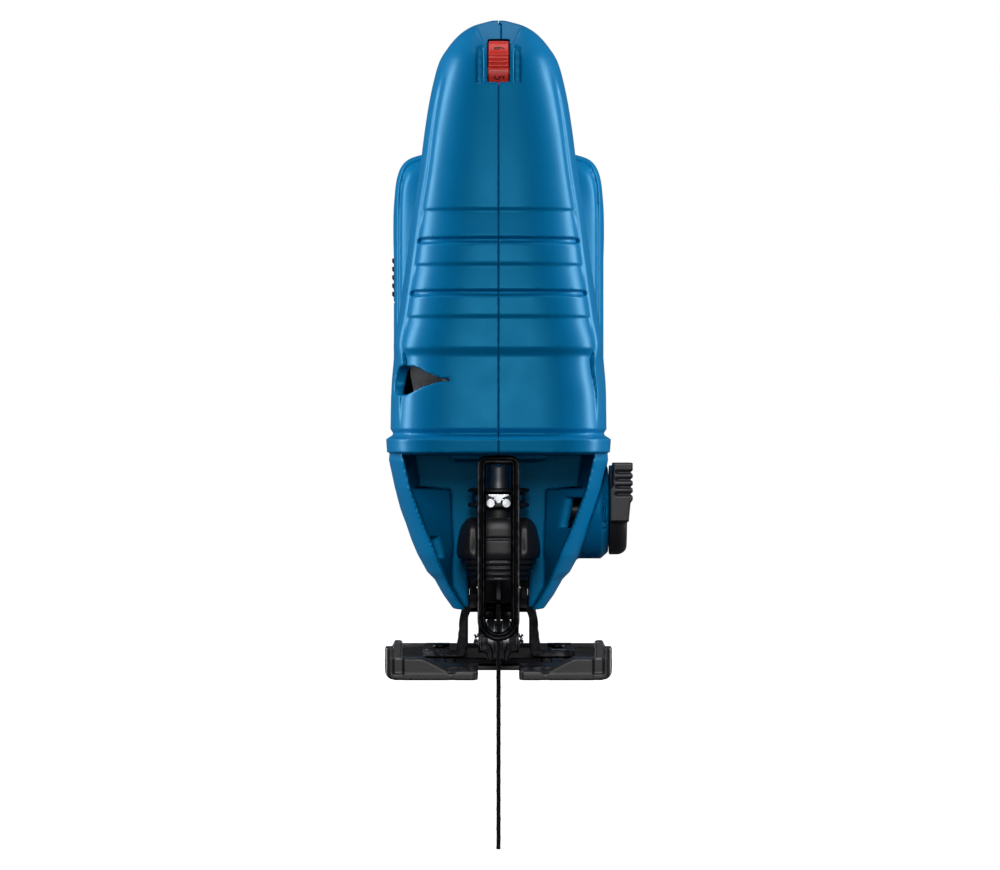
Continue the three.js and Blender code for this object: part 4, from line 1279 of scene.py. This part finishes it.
FINISHES = {
    BLACK: ["battery_mount", "terminal_block", "switch_module", "motor_end_cap", "cooling_fan"],
    CAST_BLACK: ["gearcase"],
    COATED: ["foot_plate"],
    SCREW: ["bevel_screw", "brush_left", "brush_right"],
    STEEL: [
        "motor_can", "armature_shaft", "rear_bearing", "front_bearing", "drive_pinion", "drive_gear",
        "gear_axle", "crank_roller", "counterweight", "scotch_yoke", "fork_pin", "bevel_clamp_plate",
    ],
    CHROME: ["crank_pin"],
    ALUMINIUM: ["gear_cover", "heat_sink"],
    COPPER: ["armature_core", "commutator", "battery_contacts"],
    BRONZE: ["lower_bush", "upper_bush"],
    MAGNET: ["magnet_left", "magnet_right"],
    BOARD: ["controller_board"],
}
ROUNDED = {
    "battery_mount": 0.5, "terminal_block": 0.3, "gearcase": 0.5, "foot_plate": 0.3,
    "bevel_clamp_plate": 0.2, "bevel_screw": 0.2, "gear_cover": 0.4, "switch_module": 0.4,
}


def finish_frame_nodes():
    for material, names in FINISHES.items():
        for name in names:
            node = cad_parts[name]
            for entry in node.material_slots:
                entry.material = material
            if name in ROUNDED:
                weld = node.modifiers.new("weld", "WELD")
                weld.merge_threshold = 0.01 * MM
                soften(node, ROUNDED[name], 2, 35)


finish_frame_nodes()

# ---- Stage, lights and camera ----

CAMERA_X, CAMERA_Y, CAMERA_Z = 0.47, -1780, 75.9
LIP_Y = -80
FRAME_WIDTH = 310  # what the picture's width spans at the shoe's front lip
SENSOR = 36.0
FLOOR_Z = -56.6
FLOOR_GLOW = 0.965
FLOOR_REACH = 9  # metres
WORLD_LIGHT = 0.05
# Name, place, target, size, power; in metres and watts
LIGHTS = [
    ("softbox_left", (-1.32, 0.13, 0.4), (0, 0, 0.12), (0.35, 1.5), 26),
    ("softbox_right", (1.32, 0.13, 0.4), (0, 0, 0.12), (0.35, 1.5), 26),
    ("front_fill", (0, -2.3, 0.9), (0, 0, 0.12), (0.4, 0.9), 18),
    ("low_fill", (0, -2.2, 0.0), (0, 0, 0.08), (0.7, 0.5), 2.2),
    ("top_box", (0, 0.3, 1.6), (0, 0, 0.1), (0.9, 0.9), 4),
]


def make_camera():
    data = bpy.data.cameras.new("camera")
    data.sensor_width = SENSOR
    data.lens = SENSOR * (LIP_Y - CAMERA_Y) / FRAME_WIDTH
    data.clip_start = 0.01
    camera = new_object("camera", data)
    camera.location = Vector((CAMERA_X, CAMERA_Y, CAMERA_Z)) * MM
    camera.rotation_euler = (math.pi / 2, 0, 0)
    bpy.context.scene.camera = camera


def make_light(name, location, target, size, power):
    data = bpy.data.lights.new(name, "AREA")
    data.shape = "RECTANGLE"
    data.size, data.size_y = size
    data.energy = power
    light = new_object(name, data)
    light.location = location
    direction = Vector(target) - Vector(location)
    light.rotation_euler = direction.to_track_quat("-Z", "Y").to_euler()
    light.visible_camera = False


def make_floor():
    bm = bmesh.new()
    far = FLOOR_REACH
    corners = [(-far, -far), (far, -far), (far, far), (-far, far)]
    bm.faces.new([bm.verts.new((x, y, FLOOR_Z * MM)) for x, y in corners])
    mesh = to_mesh(bm, "floor")
    floor = new_object("floor", mesh)
    floor.visible_diffuse = False
    floor.visible_glossy = False
    n = Nodes("pale_paper")
    patches = n.spread(n.noise(60, 2.0), 0.3, 0.7, 0.0, 0.3)
    tone = n.mix(patches, (0.8, 0.8, 0.8, 1), (0.84, 0.84, 0.84, 1))
    glow = {"Emission_Color": (1, 1, 1, 1), "Emission_Strength": FLOOR_GLOW}
    mesh.materials.append(n.finish(Base_Color=tone, Roughness=0.9, **glow))


def make_world():
    """White where the camera looks past the floor, dim where it lights the object."""
    world = bpy.data.worlds.new("studio")
    bpy.context.scene.world = world
    world.use_nodes = True
    tree = world.node_tree
    background = tree.nodes["Background"]
    ray = tree.nodes.new("ShaderNodeLightPath")
    level = tree.nodes.new("ShaderNodeMapRange")
    level.inputs["To Min"].default_value = WORLD_LIGHT
    level.inputs["To Max"].default_value = 1.0
    tree.links.new(ray.outputs["Is Camera Ray"], level.inputs["Value"])
    tree.links.new(level.outputs["Result"], background.inputs["Strength"])
    background.inputs["Color"].default_value = (1, 1, 1, 1)


make_camera()
make_floor()
make_world()
for light in LIGHTS:
    make_light(*light)
bpy.context.scene.view_settings.view_transform = "Standard"
